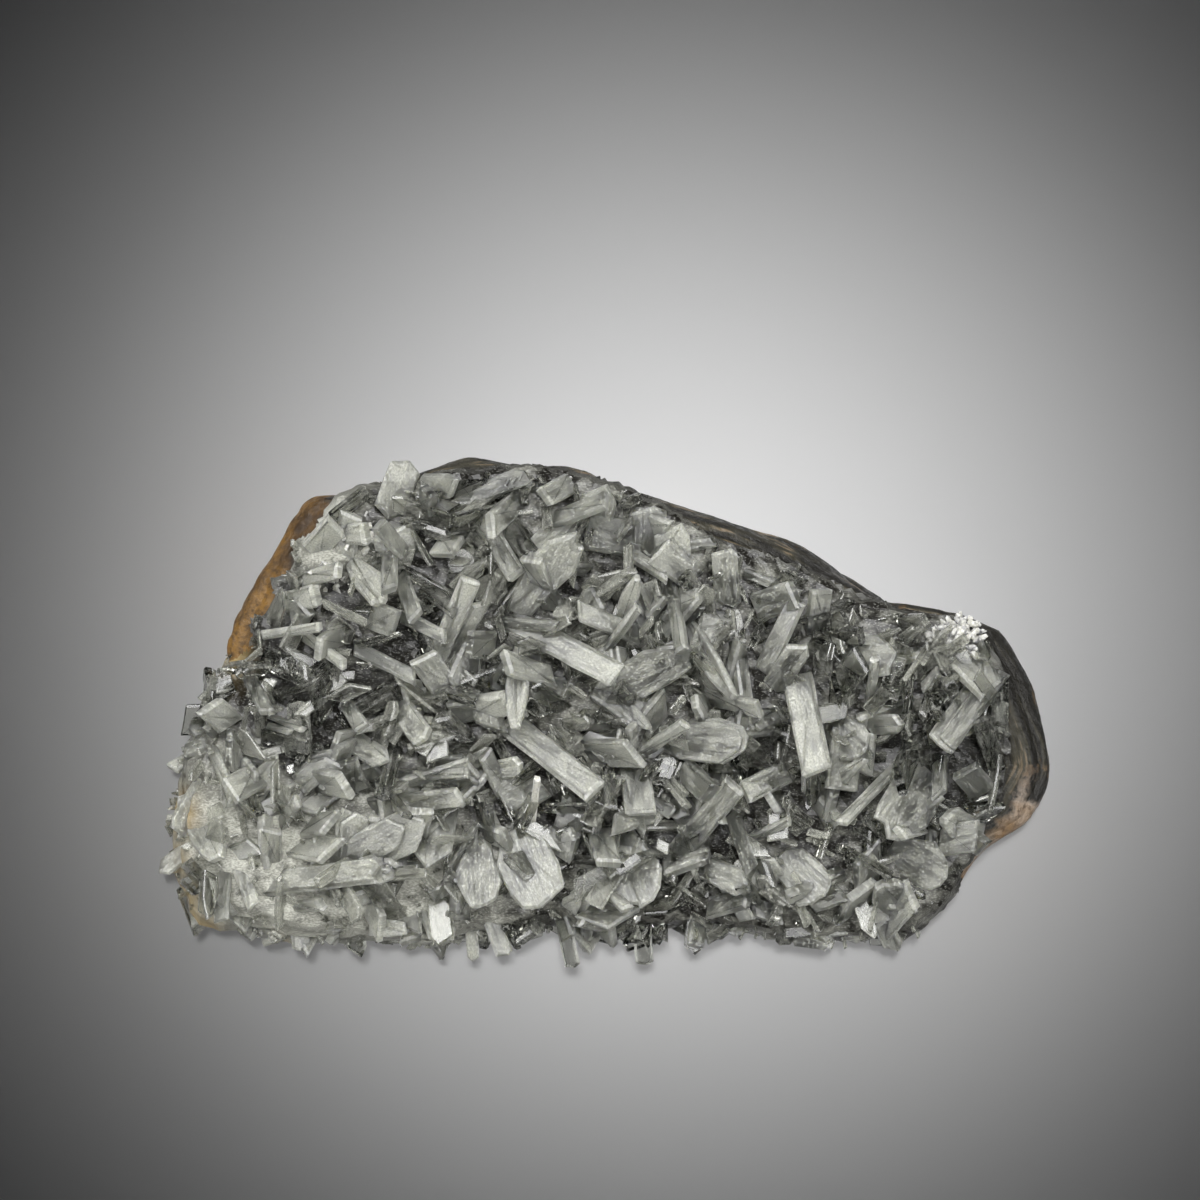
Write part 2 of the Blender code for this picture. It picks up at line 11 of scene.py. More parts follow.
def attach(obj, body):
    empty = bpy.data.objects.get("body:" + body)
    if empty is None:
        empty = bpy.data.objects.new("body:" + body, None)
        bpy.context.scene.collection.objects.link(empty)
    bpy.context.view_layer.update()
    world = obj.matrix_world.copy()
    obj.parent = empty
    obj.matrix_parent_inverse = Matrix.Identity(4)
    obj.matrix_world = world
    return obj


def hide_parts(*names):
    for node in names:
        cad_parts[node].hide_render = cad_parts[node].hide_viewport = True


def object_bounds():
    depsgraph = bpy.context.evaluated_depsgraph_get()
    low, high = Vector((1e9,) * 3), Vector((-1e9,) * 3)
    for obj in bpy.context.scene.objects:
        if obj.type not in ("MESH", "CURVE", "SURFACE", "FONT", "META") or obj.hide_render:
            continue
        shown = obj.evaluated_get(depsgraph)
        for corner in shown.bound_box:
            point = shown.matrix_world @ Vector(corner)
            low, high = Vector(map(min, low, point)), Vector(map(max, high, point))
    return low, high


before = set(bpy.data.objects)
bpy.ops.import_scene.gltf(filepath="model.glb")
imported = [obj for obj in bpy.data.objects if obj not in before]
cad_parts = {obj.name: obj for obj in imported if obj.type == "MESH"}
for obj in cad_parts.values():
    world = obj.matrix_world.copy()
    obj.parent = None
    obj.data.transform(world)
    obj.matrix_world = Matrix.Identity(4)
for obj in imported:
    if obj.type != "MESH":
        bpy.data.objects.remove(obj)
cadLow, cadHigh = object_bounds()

# Barite blades on a slab of wall rock, lying on its back. Lengths are in millimetres
# until a mesh is made: x along the slab, y towards the bare rock edge, z up.

mm = 0.001
seed = 4107
scene = bpy.context.scene

# the rock where it is widest, clockwise from the west
rockPlan = [
    (-47.5, 4.0), (-46.2, 7.8), (-44.8, 13.4), (-42.4, 17.8), (-39.4, 22.2), (-36.5, 26.2),
    (-32.8, 27.5), (-28.0, 28.6), (-20.0, 31.0), (-12.5, 31.9), (-5.6, 31.2), (0.0, 29.6),
    (10.0, 25.9), (17.5, 23.6), (25.0, 20.1), (32.5, 16.4), (35.8, 14.3), (45.0, 12.5),
    (51.0, 10.2), (54.2, 4.2), (56.2, -4.0), (56.6, -7.6), (54.4, -13.6), (48.8, -16.7),
    (46.2, -20.4), (45.4, -22.8), (40.6, -27.2), (37.4, -28.4), (25.0, -27.0), (8.0, -26.6),
    (-8.0, -26.4), (-24.0, -27.4), (-40.0, -27.4), (-49.6, -25.4), (-53.0, -20.0),
    (-52.4, -12.0), (-49.8, -3.0),
]

# where crystals cover it
crustPlan = [
    (-51.5, 3.0), (-46.6, 7.6), (-42.3, 12.8), (-40.8, 16.6), (-37.6, 20.8), (-34.8, 24.4),
    (-31.9, 26.4), (-28.0, 27.6), (-21.0, 29.2), (-12.5, 30.4), (-5.0, 29.8),
    (5.0, 26.6), (9.0, 24.4), (12.5, 22.0), (22.5, 18.6), (32.5, 14.2), (38.0, 12.2),
    (44.0, 11.2), (48.0, 9.0), (50.4, 4.0), (51.0, -4.0), (50.2, -9.6), (48.4, -13.0),
    (47.4, -16.6), (45.0, -19.4), (44.4, -22.4), (40.0, -26.2), (36.0, -33.0),
    (-52.0, -33.0), (-58.0, -26.0), (-58.0, -8.0),
]

crust = {
    "lowEdge": 6.5,      # height of the lower edge in the south-west corner
    "riseNorth": 0.08,   # and how it climbs from there
    "riseEast": 0.035,
    "footHeight": 1.0,   # a blade's foot above the rock
    "lift": 1.6,         # a blade clears the rock by at least this at its tip
}


def reach(plan, angle):  # how far a plan's outline is from the origin
    ray = Vector((math.cos(angle), math.sin(angle)))
    best = 0.0
    for (ax, ay), (bx, by) in zip(plan, plan[1:] + plan[:1]):
        start, edge = Vector((ax, ay)), Vector((bx - ax, by - ay))
        across = ray.cross(edge)
        if abs(across) < 1e-9:
            continue
        along = start.cross(edge) / across
        share = start.cross(ray) / across
        if along > 0 and -1e-6 <= share <= 1 + 1e-6:
            best = max(best, along)
    return best


def inside(plan, x, y, margin=0.0):
    return math.hypot(x, y) < reach(plan, math.atan2(y, x)) - margin


crustWest = min(x for x, y in crustPlan)
crustSouth = min(y for x, y in crustPlan)
crustEast = max(x for x, y in crustPlan)
crustNorth = max(y for x, y in crustPlan)


def lowEdge(x, y):
    climb = crust["riseEast"] * (x - crustWest) + crust["riseNorth"] * (y - crustSouth)
    return crust["lowEdge"] + climb


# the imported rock's surface, for setting things on it
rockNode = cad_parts["matrix_rock"]
rockTree = BVHTree.FromPolygons(
    [vert.co[:] for vert in rockNode.data.vertices],
    [tuple(face.vertices) for face in rockNode.data.polygons],
)
rockBelly = 8.5


def heightAt(x, y):
    hit = rockTree.ray_cast(Vector((x, y, 100)) * mm, Vector((0, 0, -1)))[0]
    return hit.z / mm if hit else rockBelly


def wallAt(out, height):
    hit = rockTree.ray_cast((out * 100 + Vector((0, 0, height))) * mm, -out)[0]
    return hit / mm


def newStore():
    return {"points": [], "faces": [], "finish": [], "grain": [], "cloud": [], "rim": []}


def ready(made):
    scene.collection.objects.link(made)
    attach(made, "root")
    made.data.calc_loop_triangles()
    print(made.name, len(made.data.loop_triangles), "triangles")
    return made


def meshFrom(store, name, materials):
    mesh = bpy.data.meshes.new(name)
    mesh.from_pydata([tuple(point * mm) for point in store["points"]], [], store["faces"])
    for material in materials:
        mesh.materials.append(material)
    mesh.polygons.foreach_set("material_index", store["finish"])
    grain = mesh.attributes.new("grain", "FLOAT_VECTOR", "POINT")
    grain.data.foreach_set("vector", [value for row in store["grain"] for value in row])
    for layer in ("cloud", "rim"):
        mesh.attributes.new(layer, "FLOAT", "POINT").data.foreach_set("value", store[layer])
    return ready(bpy.data.objects.new(name, mesh))


def inset(outline, distance):
    moved = []
    count = len(outline)
    for index in range(count):
        before, here, after = outline[index - 1], outline[index], outline[(index + 1) % count]
        come, go = (here - before).normalized(), (after - here).normalized()
        outCome, outGo = Vector((come.y, -come.x)), Vector((go.y, -go.x))
        spread = max(0.35, 1 + outCome.dot(outGo))
        moved.append(here - (outCome + outGo) / spread * distance)
    return moved


def cutCorners(outline, amount):
    cut = []
    count = len(outline)
    for index in range(count):
        before, here, after = outline[index - 1], outline[index], outline[(index + 1) % count]
        cut.append(here.lerp(before, min(0.4, amount / max((here - before).length, 0.01))))
        cut.append(here.lerp(after, min(0.4, amount / max((here - after).length, 0.01))))
    return cut


def nickEdges(outline, chance, step, amount):
    # long edges get extra corners, a little out of line
    made = []
    count = len(outline)
    for index in range(count):
        here, after = outline[index], outline[(index + 1) % count]
        made.append(here)
        pieces = int((after - here).length / step)
        side = (after - here).normalized()
        normal = Vector((side.y, -side.x))
        for piece in range(1, pieces):
            share = (piece + chance.uniform(-0.25, 0.25)) / pieces
            made.append(here.lerp(after, share) + normal * chance.uniform(-1, 1) * amount)
    return made


def bladeAxes(foot, tip, turn):
    along = (tip - foot).normalized()
    up = Vector((0, 0, 1)) - along * along.z
    if up.length < 0.05:
        up = Vector((1, 0, 0)) - along * along.x
    facing = Matrix.Rotation(math.radians(turn), 3, along) @ up.normalized()
    return along.cross(facing), along, facing


boxMargin = 0.02
boxLow = [value / mm + boxMargin for value in cadLow]
boxHigh = [value / mm - boxMargin for value in cadHigh]


def loft(store, middle, axes, outline, levels, finish, cloud, bow=0.0):
    # stacks insets of an outline into a closed tablet; levels are (height, inset, paler rim: frosting and
    # painted edge highlight) and cloud is (amount, change towards the tip, change towards one side)
    across, along, facing = axes
    longest = max(abs(point.y) for point in outline)
    widest = max(abs(point.x) for point in outline)
    first = len(store["points"])
    count = len(outline)
    shiftX, shiftY = (first * 0.37) % 911, (first * 0.73) % 733  # no two blades share their streaks
    for height, distance, rim in levels:
        for point in inset(outline, distance):
            sag = bow * (1 - (point.y / longest) ** 2)
            place = middle + across * point.x + along * point.y + facing * (height + sag)
            for axis in range(3):
                place[axis] = min(max(place[axis], boxLow[axis]), boxHigh[axis])
            store["points"].append(place)
            store["grain"].append((point.x + shiftX, point.y + shiftY, 0.0))
            store["cloud"].append(cloud[0] + cloud[1] * point.y / longest + cloud[2] * point.x / widest)
            store["rim"].append(rim)
    for ring in range(len(levels) - 1):
        low, high = first + ring * count, first + (ring + 1) * count
        for index in range(count):
            after = (index + 1) % count
            store["faces"].append((low + index, low + after, high + after, high + index))
            store["finish"].append(finish)
    store["faces"].append(tuple(first + index for index in reversed(range(count))))
    top = first + (len(levels) - 1) * count
    store["faces"].append(tuple(top + index for index in range(count)))
    store["finish"] += [finish, finish]


fullWidth = 2.5  # narrower blades have plainer ends


# outlines of a blade's broad face, foot at -y and tip at +y

def cornersAt(rows, length, width):
    # shares of the half width and half length, and how many widths a corner is set back
    return [Vector((x * width / 2, y * (length / 2 - back * width))) for x, y, back in rows]


def chisel(chance, length, width):
    lean, point = chance.uniform(-0.6, 0.6), chance.uniform(0.12, 0.55)
    rows = [(1, 1, point), (lean, 1, 0), (-1, 1, point), (-1, -1, 0.25), (lean, -1, 0), (1, -1, 0.25)]
    return cornersAt(rows, length, width)


def sheared(chance, length, width):
    skew = chance.uniform(0.1, 0.7)
    near, far = (skew, 0) if chance.random() < 0.5 else (0, skew)
    return cornersAt([(1, 1, near), (-1, 1, far), (-1, -1, near), (1, -1, far)], length, width)


def lath(chance, length, width):
    slant = chance.uniform(-0.14, 0.14)
    return cornersAt([(1, -1, 0), (0.97, 1, -slant), (-1, 1, slant), (-0.94, -1, 0)], length, width)


def stepped(chance, length, width):
    # a lath whose end breaks back in steps
    half, end = width / 2, length / 2
    steps = 2 if width < fullWidth else 3
    made = [Vector((half, -end))]
    back = chance.uniform(0.0, 0.3) * width
    for step in range(steps):
        right = half - width * step / steps
        left = half - width * (step + 1) / steps
        made.append(Vector((right - 0.02 * width, end - back)))
        back = max(0.0, back + chance.uniform(-0.5, 0.5) * width)
        made.append(Vector((left + 0.02 * width, end - back - 0.03 * width)))
    made.append(Vector((-half, -end)))
    return made


def leaf(chance, length, width):
    rows = 7
    narrowFoot, fullness, roundness = 0.1, 0.82, 0.75
    sides = []
    for row in range(rows + 1):
        share = row / rows
        bulge = math.sin(math.pi * (narrowFoot + fullness * share)) ** roundness
        sides.append((width / 2 * bulge, -length / 2 + length * share))
    right = [Vector((x, y)) for x, y in sides]
    left = [Vector((-x * 0.85, y)) for x, y in reversed(sides)]
    return right + left


def plate(chance, length, width):
    half, end = width / 2, length / 2
    corners = [
        (0.62, -1.0), (0.95, -0.35), (1.0, 0.45), (0.7, 0.82), (0.3, 0.9), (0.12, 1.0),
        (-0.35, 0.93), (-0.8, 0.7), (-1.0, 0.2), (-0.85, -0.5), (-0.5, -1.0),
    ]
    made = []
    for x, y in corners:
        dx, dy = chance.uniform(-0.08, 0.08) * width, chance.uniform(-0.05, 0.05) * length
        made.append(Vector((x * half + dx, y * end + dy)))
    return made


def wedge(chance, length, width):
    half, end = width / 2, length / 2
    tip = chance.uniform(-0.5, 0.5) * half
    return [
        Vector((half * 0.8, -end)), Vector((half, 0.1 * end)), Vector((tip + 0.12 * width, end)),
        Vector((tip - 0.12 * width, end * 0.98)), Vector((-half, 0.25 * end)), Vector((-half * 0.9, -end)),
    ]


def shard(chance, length, width):
    rows = [
        (1, -1, 0), (chance.uniform(0.6, 1), chance.uniform(-0.2, 0.5), 0), (chance.uniform(-0.4, 0.6), 1, 0),
        (chance.uniform(-0.9, -0.5), chance.uniform(0.3, 0.95), 0), (-1, chance.uniform(-0.6, 0), 0),
        (-0.7, -1, 0),
    ]
    return cornersAt(rows, length, width)


# foot x and y, tip x and y, height of the tip above the rock, width, thickness, turn about its length
largeBlades = {
    "crown tip": (-26.9, 24.0, -24.2, 31.4, 5.0, 4.2, 1.6, 20),
    "crown plate": (-22.4, 28.2, -17.6, 28.1, 4.5, 3.2, 1.1, 10),
    "brow lath": (-18.5, 25.8, -9.1, 29.8, 5.5, 2.8, 1.1, -25),
    "twin lath west": (-15.0, 24.3, -10.3, 16.8, 7.0, 2.6, 1.2, 15),
    "twin lath east": (-12.5, 24.2, -8.4, 19.0, 5.0, 2.5, 1.1, -10),
    "milky plate": (-11.0, 12.3, -3.3, 22.0, 9.0, 5.6, 1.5, 12),
    "north hexagon": (-1.0, 22.6, 0.2, 28.6, 5.5, 4.6, 1.1, -8),
    "west mast": (-21.3, 5.0, -16.0, 16.5, 8.5, 2.7, 1.3, 10),
    "west mast shadow": (-18.8, 6.3, -14.6, 14.0, 5.0, 2.2, 1.0, 35),
    "cross bar": (-12.8, 11.3, -5.0, 10.6, 6.0, 1.5, 1.0, 30),
    "long lath": (-11.2, 11.4, 2.0, 4.5, 8.5, 3.4, 1.3, -12),
    "broad blade": (-0.5, 1.5, 11.0, 8.0, 7.0, 5.2, 1.2, 15),
    "upright lath": (-9.9, 8.4, -10.5, -2.0, 7.0, 3.4, 1.1, 20),
    "great lath": (-11.8, -1.2, -0.7, -9.8, 9.5, 3.6, 1.6, -18),
    "needle": (-8.6, -14.3, -7.8, -8.0, 9.0, 0.9, 0.8, 0),
    "short lath": (2.6, 1.5, 6.0, -1.9, 6.5, 1.9, 1.1, 20),
    "east mast": (8.6, 17.4, 10.0, 7.4, 8.0, 1.8, 1.4, 35),
    "bowed lath": (11.0, 11.6, 16.6, 1.8, 8.5, 3.1, 1.3, 22),
    "steep lath": (20.3, 5.0, 24.3, 13.8, 8.0, 2.6, 1.2, -20),
    "steep twin": (21.3, 2.8, 25.0, 8.6, 6.0, 3.2, 1.0, 15),
    "square lath": (24.6, 4.4, 26.6, -7.3, 9.0, 3.9, 1.5, 8),
    "roof plate": (16.0, 13.0, 15.3, 20.4, 5.5, 3.4, 1.1, -18),
    "roof strip": (17.8, 17.4, 24.8, 14.5, 5.5, 1.3, 1.0, 30),
    "east lath": (49.6, 5.6, 41.8, -4.0, 7.5, 4.0, 1.6, 15),
    "east needle": (41.0, 2.8, 39.7, -0.7, 5.5, 1.1, 1.0, 0),
    "rim lath": (49.8, 4.6, 49.6, -3.0, 4.0, 2.4, 1.3, -20),
    "east slip": (42.4, -5.6, 42.0, -11.0, 5.0, 1.9, 1.1, 30),
    "east milky": (47.6, -15.4, 42.6, -13.2, 4.5, 4.0, 1.3, 10),
    "east fan": (40.8, -7.2, 35.6, -15.4, 6.0, 7.2, 1.1, -12),
    "slim east": (37.5, -6.2, 29.5, -13.8, 8.0, 1.5, 1.1, 40),
    "wedge": (26.9, -10.6, 32.9, -5.8, 7.0, 2.2, 1.1, -30),
    "east plate": (28.5, -0.8, 33.0, -5.2, 5.0, 5.0, 1.0, 5),
    "little plate": (33.4, -1.7, 37.4, -1.3, 6.0, 2.5, 1.0, 10),
    "mirror lath": (30.1, -17.1, 35.7, -20.0, 7.5, 1.3, 1.0, -5),
    "corner fan": (36.2, -16.6, 43.0, -21.2, 5.0, 6.4, 1.1, 18),
    "corner plate": (38.0, -26.0, 34.8, -20.8, 5.5, 4.4, 1.1, -15),
    "south slip": (15.5, -21.4, 18.6, -26.4, 6.0, 2.0, 1.1, 20),
    "south shelf": (12.3, -19.0, 18.6, -21.8, 6.5, 3.4, 1.2, 5),
    "south grey": (22.4, -17.8, 28.2, -23.0, 5.0, 6.0, 1.1, -10),
    "cross lath": (9.7, -17.4, 16.6, -8.8, 8.5, 3.3, 1.5, 15),
    "glint edge": (18.2, -16.0, 23.6, -13.2, 7.0, 1.2, 1.0, 25),
    "mid plate": (4.0, -5.6, 5.0, -12.6, 6.5, 4.0, 1.1, 12),
    "mid lath": (0.8, -5.0, 1.2, -12.1, 7.0, 1.8, 1.1, -30),
    "south fan": (2.9, -15.2, 5.6, -24.2, 6.5, 6.2, 1.2, 10),
    "south bar": (-2.0, -19.6, 3.5, -24.6, 7.5, 1.6, 1.2, -35),
    "window plate": (-11.0, -14.6, -6.9, -24.2, 8.0, 7.2, 1.3, 8),
    "window twin": (-15.3, -15.6, -15.0, -24.4, 6.5, 5.4, 1.2, -12),
    "outlined plate": (-20.0, -11.0, -21.2, -19.4, 6.0, 5.2, 1.0, 15),
    "great plate": (-33.8, -20.2, -22.0, -12.9, 8.5, 5.9, 1.5, 10),
    "south-west lath": (-42.4, -21.6, -26.5, -19.4, 8.0, 3.4, 1.5, -15),
    "wing": (-29.2, -11.8, -17.0, -10.3, 8.0, 2.6, 1.1, 25),
    "stacked lath": (-27.8, -10.0, -16.0, -6.2, 6.5, 1.7, 1.1, 30),
    "stacked twin": (-25.8, -8.2, -16.2, -7.4, 7.5, 1.4, 1.0, -20),
    "west plate": (-25.2, 1.0, -21.7, -3.4, 6.5, 3.2, 1.1, 15),
    "west flake": (-31.2, -3.6, -26.4, -6.3, 5.5, 3.0, 1.0, -15),
    "west chip": (-31.9, 1.3, -29.4, -2.2, 5.5, 2.0, 1.0, 20),
    "west bridge": (-42.4, -3.0, -35.9, -4.3, 5.5, 2.2, 1.1, 25),
    "sliver": (-41.4, -0.5, -36.7, -2.2, 6.5, 0.9, 0.8, 0),
    "sliver twin": (-41.6, -1.7, -38.3, -2.5, 6.0, 0.9, 0.8, 15),
    "west white": (-44.2, 4.6, -41.2, -0.3, 6.5, 1.9, 1.1, -15),
    "white edge": (-36.9, 9.4, -31.7, 5.9, 6.5, 1.5, 1.0, 30),
    "white bar": (-42.2, 9.6, -34.7, 10.6, 6.0, 1.3, 1.1, 10),
    "white block": (-39.4, 13.6, -35.2, 14.5, 5.0, 3.0, 1.5, 5),
    "white frame": (-37.0, 16.4, -32.4, 17.6, 5.5, 2.2, 1.2, -20),
    "white cluster": (-34.4, 22.6, -29.0, 22.1, 5.5, 3.0, 1.4, 15),
    "white cluster twin": (-32.0, 18.8, -30.9, 24.6, 5.0, 3.0, 1.3, -10),
    "chalk plate": (-31.0, 18.8, -26.8, 13.8, 6.0, 3.7, 1.4, 12),
    "clear lath": (-25.0, 17.2, -22.7, 11.4, 6.5, 2.2, 1.1, 15),
    "spark lath": (-22.1, 15.6, -17.7, 12.4, 7.0, 2.2, 1.1, -20),
    "pale arm": (-25.2, 12.1, -18.9, 9.2, 6.0, 1.8, 1.0, 20),
    "low arm": (-31.2, 8.1, -22.4, 4.0, 6.5, 1.9, 1.1, -15),
    "ragged plate": (-42.3, 7.0, -36.0, 4.2, 5.5, 3.0, 1.0, 15),
    "bow edge": (-40.4, 1.9, -34.7, 3.8, 7.0, 1.0, 0.9, 30),
    "glassy plate": (-51.0, -13.6, -47.2, -18.1, 6.0, 4.0, 1.2, 10),
    "west column": (-46.3, -13.4, -47.3, -26.6, 7.0, 1.9, 1.2, 20),
    "yellow plate": (-49.2, -8.8, -52.6, -15.8, 4.5, 4.5, 1.2, -15),
    "south-west rib": (-45.9, -18.2, -43.0, -24.6, 6.0, 1.9, 1.1, -20),
    "south-west edge": (-53.0, -22.0, -50.4, -28.2, 3.5, 2.0, 1.3, 15),
    "blue plate": (-23.8, -22.0, -23.4, -28.0, 6.0, 2.4, 1.2, 10),
    "south milky": (-21.9, -22.4, -19.4, -29.0, 4.5, 3.6, 1.2, -10),
    "south white": (-30.0, -27.0, -24.6, -26.8, 5.0, 2.0, 1.4, 10),
    "pale bar": (-38.9, -24.4, -34.4, -23.7, 6.0, 1.7, 1.2, 15),
    "side glass": (-49.3, -3.2, -45.5, -11.0, 5.5, 1.7, 1.0, 30),
    "slanted slip": (-40.4, -15.0, -37.2, -10.6, 5.5, 1.7, 1.0, -25),
    "low plate": (-14.2, -7.5, -9.7, -6.5, 5.0, 2.6, 1.0, 10),
    "glitter bar": (-8.2, -12.0, -1.2, -11.8, 6.0, 1.5, 1.1, 20),
    "fan plate": (7.6, -2.9, 18.2, -4.0, 8.0, 5.4, 1.3, -10),
    "slotted lath": (2.2, -7.0, 10.6, -1.2, 7.0, 1.7, 1.1, 30),
    "spark column": (33.5, 1.2, 33.9, 6.9, 6.5, 1.3, 1.1, 10),
    "pale roof": (6.0, 19.0, 6.0, 25.6, 5.0, 4.4, 1.1, 12),
    "pale roof twin": (9.2, 17.8, 8.8, 23.6, 5.0, 4.6, 1.2, -14),
    "white leaf": (2.4, 11.7, 4.5, 16.8, 7.0, 2.5, 1.1, 10),
    "thin pair": (0.0, 6.8, 4.9, 13.3, 7.5, 1.3, 1.0, 35),
    "east block": (30.0, 7.6, 36.8, 6.6, 4.5, 5.4, 1.2, -8),
    "north-east chip": (26.6, 12.4, 31.0, 10.6, 4.0, 3.2, 1.1, 10),
}

# the same for blades that hang over the edge, but with the height of the tip above the floor
hangingTips = {
    "south": [
        (-16.4, -26.0, -15.9, -31.5, 14.5, 1.5, 1.1, 10),
        (-14.0, -25.4, -12.0, -30.8, 16.0, 2.3, 1.2, -15),
        (-11.0, -24.8, -9.3, -29.2, 15.0, 1.8, 1.1, 20),
        (-4.8, -25.4, -3.4, -32.2, 17.0, 2.0, 1.2, 10),
        (-1.2, -25.8, -2.2, -30.3, 13.0, 1.7, 1.1, 30),
        (5.0, -25.6, 5.5, -31.9, 15.5, 2.3, 1.2, -10),
        (12.0, -25.4, 11.6, -30.6, 14.0, 2.4, 1.2, 20),
        (-31.0, -26.2, -30.4, -31.0, 15.0, 2.6, 1.4, 10),
        (-38.0, -26.2, -37.6, -30.2, 15.0, 2.4, 1.3, -15),
        (-44.0, -25.2, -44.2, -29.0, 15.5, 2.2, 1.2, 20),
        (22.6, -25.6, 23.4, -29.4, 14.5, 2.4, 1.2, -20),
        (35.0, -26.0, 37.2, -30.2, 14.0, 2.6, 1.2, 15),
    ],
    "west": [
        (-51.0, -17.0, -55.6, -20.4, 14.0, 2.4, 1.2, 20),
        (-50.0, -11.0, -53.6, -12.4, 15.0, 2.8, 1.2, -10),
        (-48.6, -4.0, -52.4, -5.6, 14.5, 2.6, 1.2, 25),
        (-47.6, 0.6, -50.4, 1.0, 15.0, 2.4, 1.2, 10),
    ],
}

clear, cloudy, sugary = range(3)    # places in a piece's list of materials
clearest, sugariest = 0.2, 1.05     # cloudiness below and above which a blade isn't the middle one


def finishOf(cloud):
    return sugary if cloud > sugariest else clear if cloud < clearest else cloudy


# how each named blade looks: outline, cloudiness, its change towards the tip, and leaves
characters = {
    "crown tip": (chisel, 0.7, 0.1, 1), "crown plate": (chisel, 0.5, 0.2, 1),
    "brow lath": (stepped, 0.35, -0.2, 3), "milky plate": (plate, 0.72, 0.1, 1),
    "west mast": (lath, 0.72, 0.15, 1), "twin lath west": (lath, 0.6, -0.2, 1),
    "twin lath east": (lath, 0.1, 0.1, 1), "long lath": (lath, 0.55, 0.3, 1),
    "broad blade": (plate, 0.5, -0.35, 1), "upright lath": (leaf, 0.7, 0.1, 1),
    "great lath": (lath, 0.65, 0.15, 1), "square lath": (lath, 0.78, 0.15, 1),
    "bowed lath": (leaf, 0.62, 0.1, 1), "east lath": (stepped, 0.45, 0.25, 2),
    "great plate": (plate, 0.7, 0.15, 2), "south-west lath": (stepped, 0.72, 0.1, 1),
    "window plate": (plate, 0.62, 0.1, 1), "window twin": (plate, 0.6, 0.1, 1),
    "glassy plate": (plate, 0.7, 0.2, 1), "yellow plate": (plate, 0.7, 0.1, 1),
    "east fan": (plate, 0.45, 0.3, 1), "corner fan": (plate, 0.35, 0.2, 1),
    "south fan": (plate, 0.5, 0.15, 1), "fan plate": (plate, 0.5, 0.3, 2),
    "cross lath": (lath, 0.5, 0.15, 1), "steep lath": (lath, 0.55, 0.1, 1),
    "short lath": (leaf, 0.75, 0.1, 1), "needle": (lath, 1.3, 0, 1),
    "white leaf": (leaf, 1.0, 0.1, 1), "chalk plate": (plate, 1.0, 0, 1),
    "mirror lath": (lath, 0.1, 0, 1), "east plate": (plate, 0.4, 0.2, 1),
    "south grey": (plate, 0.5, 0.05, 1), "east milky": (plate, 0.7, 0.1, 1),
    "mid plate": (lath, 0.42, 0.3, 1), "corner plate": (plate, 0.4, 0.2, 1),
    "wedge": (wedge, 0.45, 0.3, 1), "north hexagon": (chisel, 0.5, 0.2, 1),
    "east block": (plate, 0.5, 0.2, 1),
}
for ending in ("edge", "bar", "block", "frame", "cluster", "cluster twin"):
    characters["white " + ending] = (lath, 1.0, 0, 1)
rolls = {"south grey": 14}   # degrees that a blade is rolled further, so that its face doesn't flash
bows = {"bowed lath": 0.9}   # height of its bend

def draws(chance, style, *names):
    return [chance.uniform(*style[name]) for name in names]


bladeStyle = {
    "lowerInset": 0.2,    # shares of the thickness
    "upperInset": 0.24,
    "halfLeaf": 0.53,     # just over a half, so that leaves touch
    "belly": 0.45,        # where a leaf is widest, from its middle up
    "frostAndHighlightBand": 0.16,    # width of the frosting and painted highlight along the edges of a broad face
    "frostAndHighlightShare": 0.16,   # and the most of the width that it takes
    "frostAndHighlightFrom": 1.1,   # width from which a blade has it
    "nickedFrom": 1.2,    # and its edges nicks
    "nickStep": 1.7,      # distance between nicks along an edge
    "nickDepth": 0.07,
    "cornerCut": 0.10,
    "leafWidth": (0.5, 0.92),    # shares of the first leaf
    "leafLength": (0.72, 0.97),
    "leafShift": 0.08,    # how far a leaf sits off its neighbour, as a share of the length
}


def addBlade(store, foot, tip, width, thickness, turn, outline, cloud, chance, leaves=1, bow=0.0):
    axes = bladeAxes(foot, tip, turn)
    length = (tip - foot).length
    style = bladeStyle
    shape = cutCorners(outline, style["cornerCut"] * min(1, width / fullWidth))
    if width > style["nickedFrom"]:
        shape = nickEdges(shape, chance, style["nickStep"], style["nickDepth"])
    finish = finishOf(cloud[0])
    step = thickness / leaves
    for number in range(leaves):
        middle = (foot + tip) / 2 + axes[2] * (-thickness / 2 + step * (number + 0.5))
        current = shape
        if number:
            # one long edge stays flush
            narrow, short = draws(chance, style, "leafWidth", "leafLength")
            flush = (1 - narrow) / 2 * width * chance.choice((-1, 1))
            slide = chance.uniform(-1, 1) * style["leafShift"] * length
            current = [Vector((point.x * narrow + flush, point.y * short + slide)) for point in shape]
        half = step * style["halfLeaf"]
        edge = style["upperInset"] * step
        band = min(style["frostAndHighlightBand"], style["frostAndHighlightShare"] * width)
        # the last number of each level is how pale the rim is: frosting, and a painted highlight along the
        # edges
        levels = [
            (-half, style["lowerInset"] * step, 0.6), (style["belly"] * half, 0.0, 1.0), (half, edge, 0.75),
        ]
        if width > style["frostAndHighlightFrom"]:
            levels.append((half, edge + band, 0.0))
        loft(store, middle, axes, current, levels, finish, cloud, bow)


def footAt(x, y):
    return Vector((x, y, heightAt(x, y) + crust["footHeight"]))


def lifted(foot, tip):  # the tip, raised until the blade clears the rock all along
    needed = tip.z
    for share in (0.3, 0.5, 0.75, 1.0):
        here = foot.lerp(tip, share)
        clearance = heightAt(here.x, here.y) + crust["footHeight"] + crust["lift"] * share
        needed = max(needed, foot.z + (clearance - foot.z) / share)
    return Vector((tip.x, tip.y, needed))


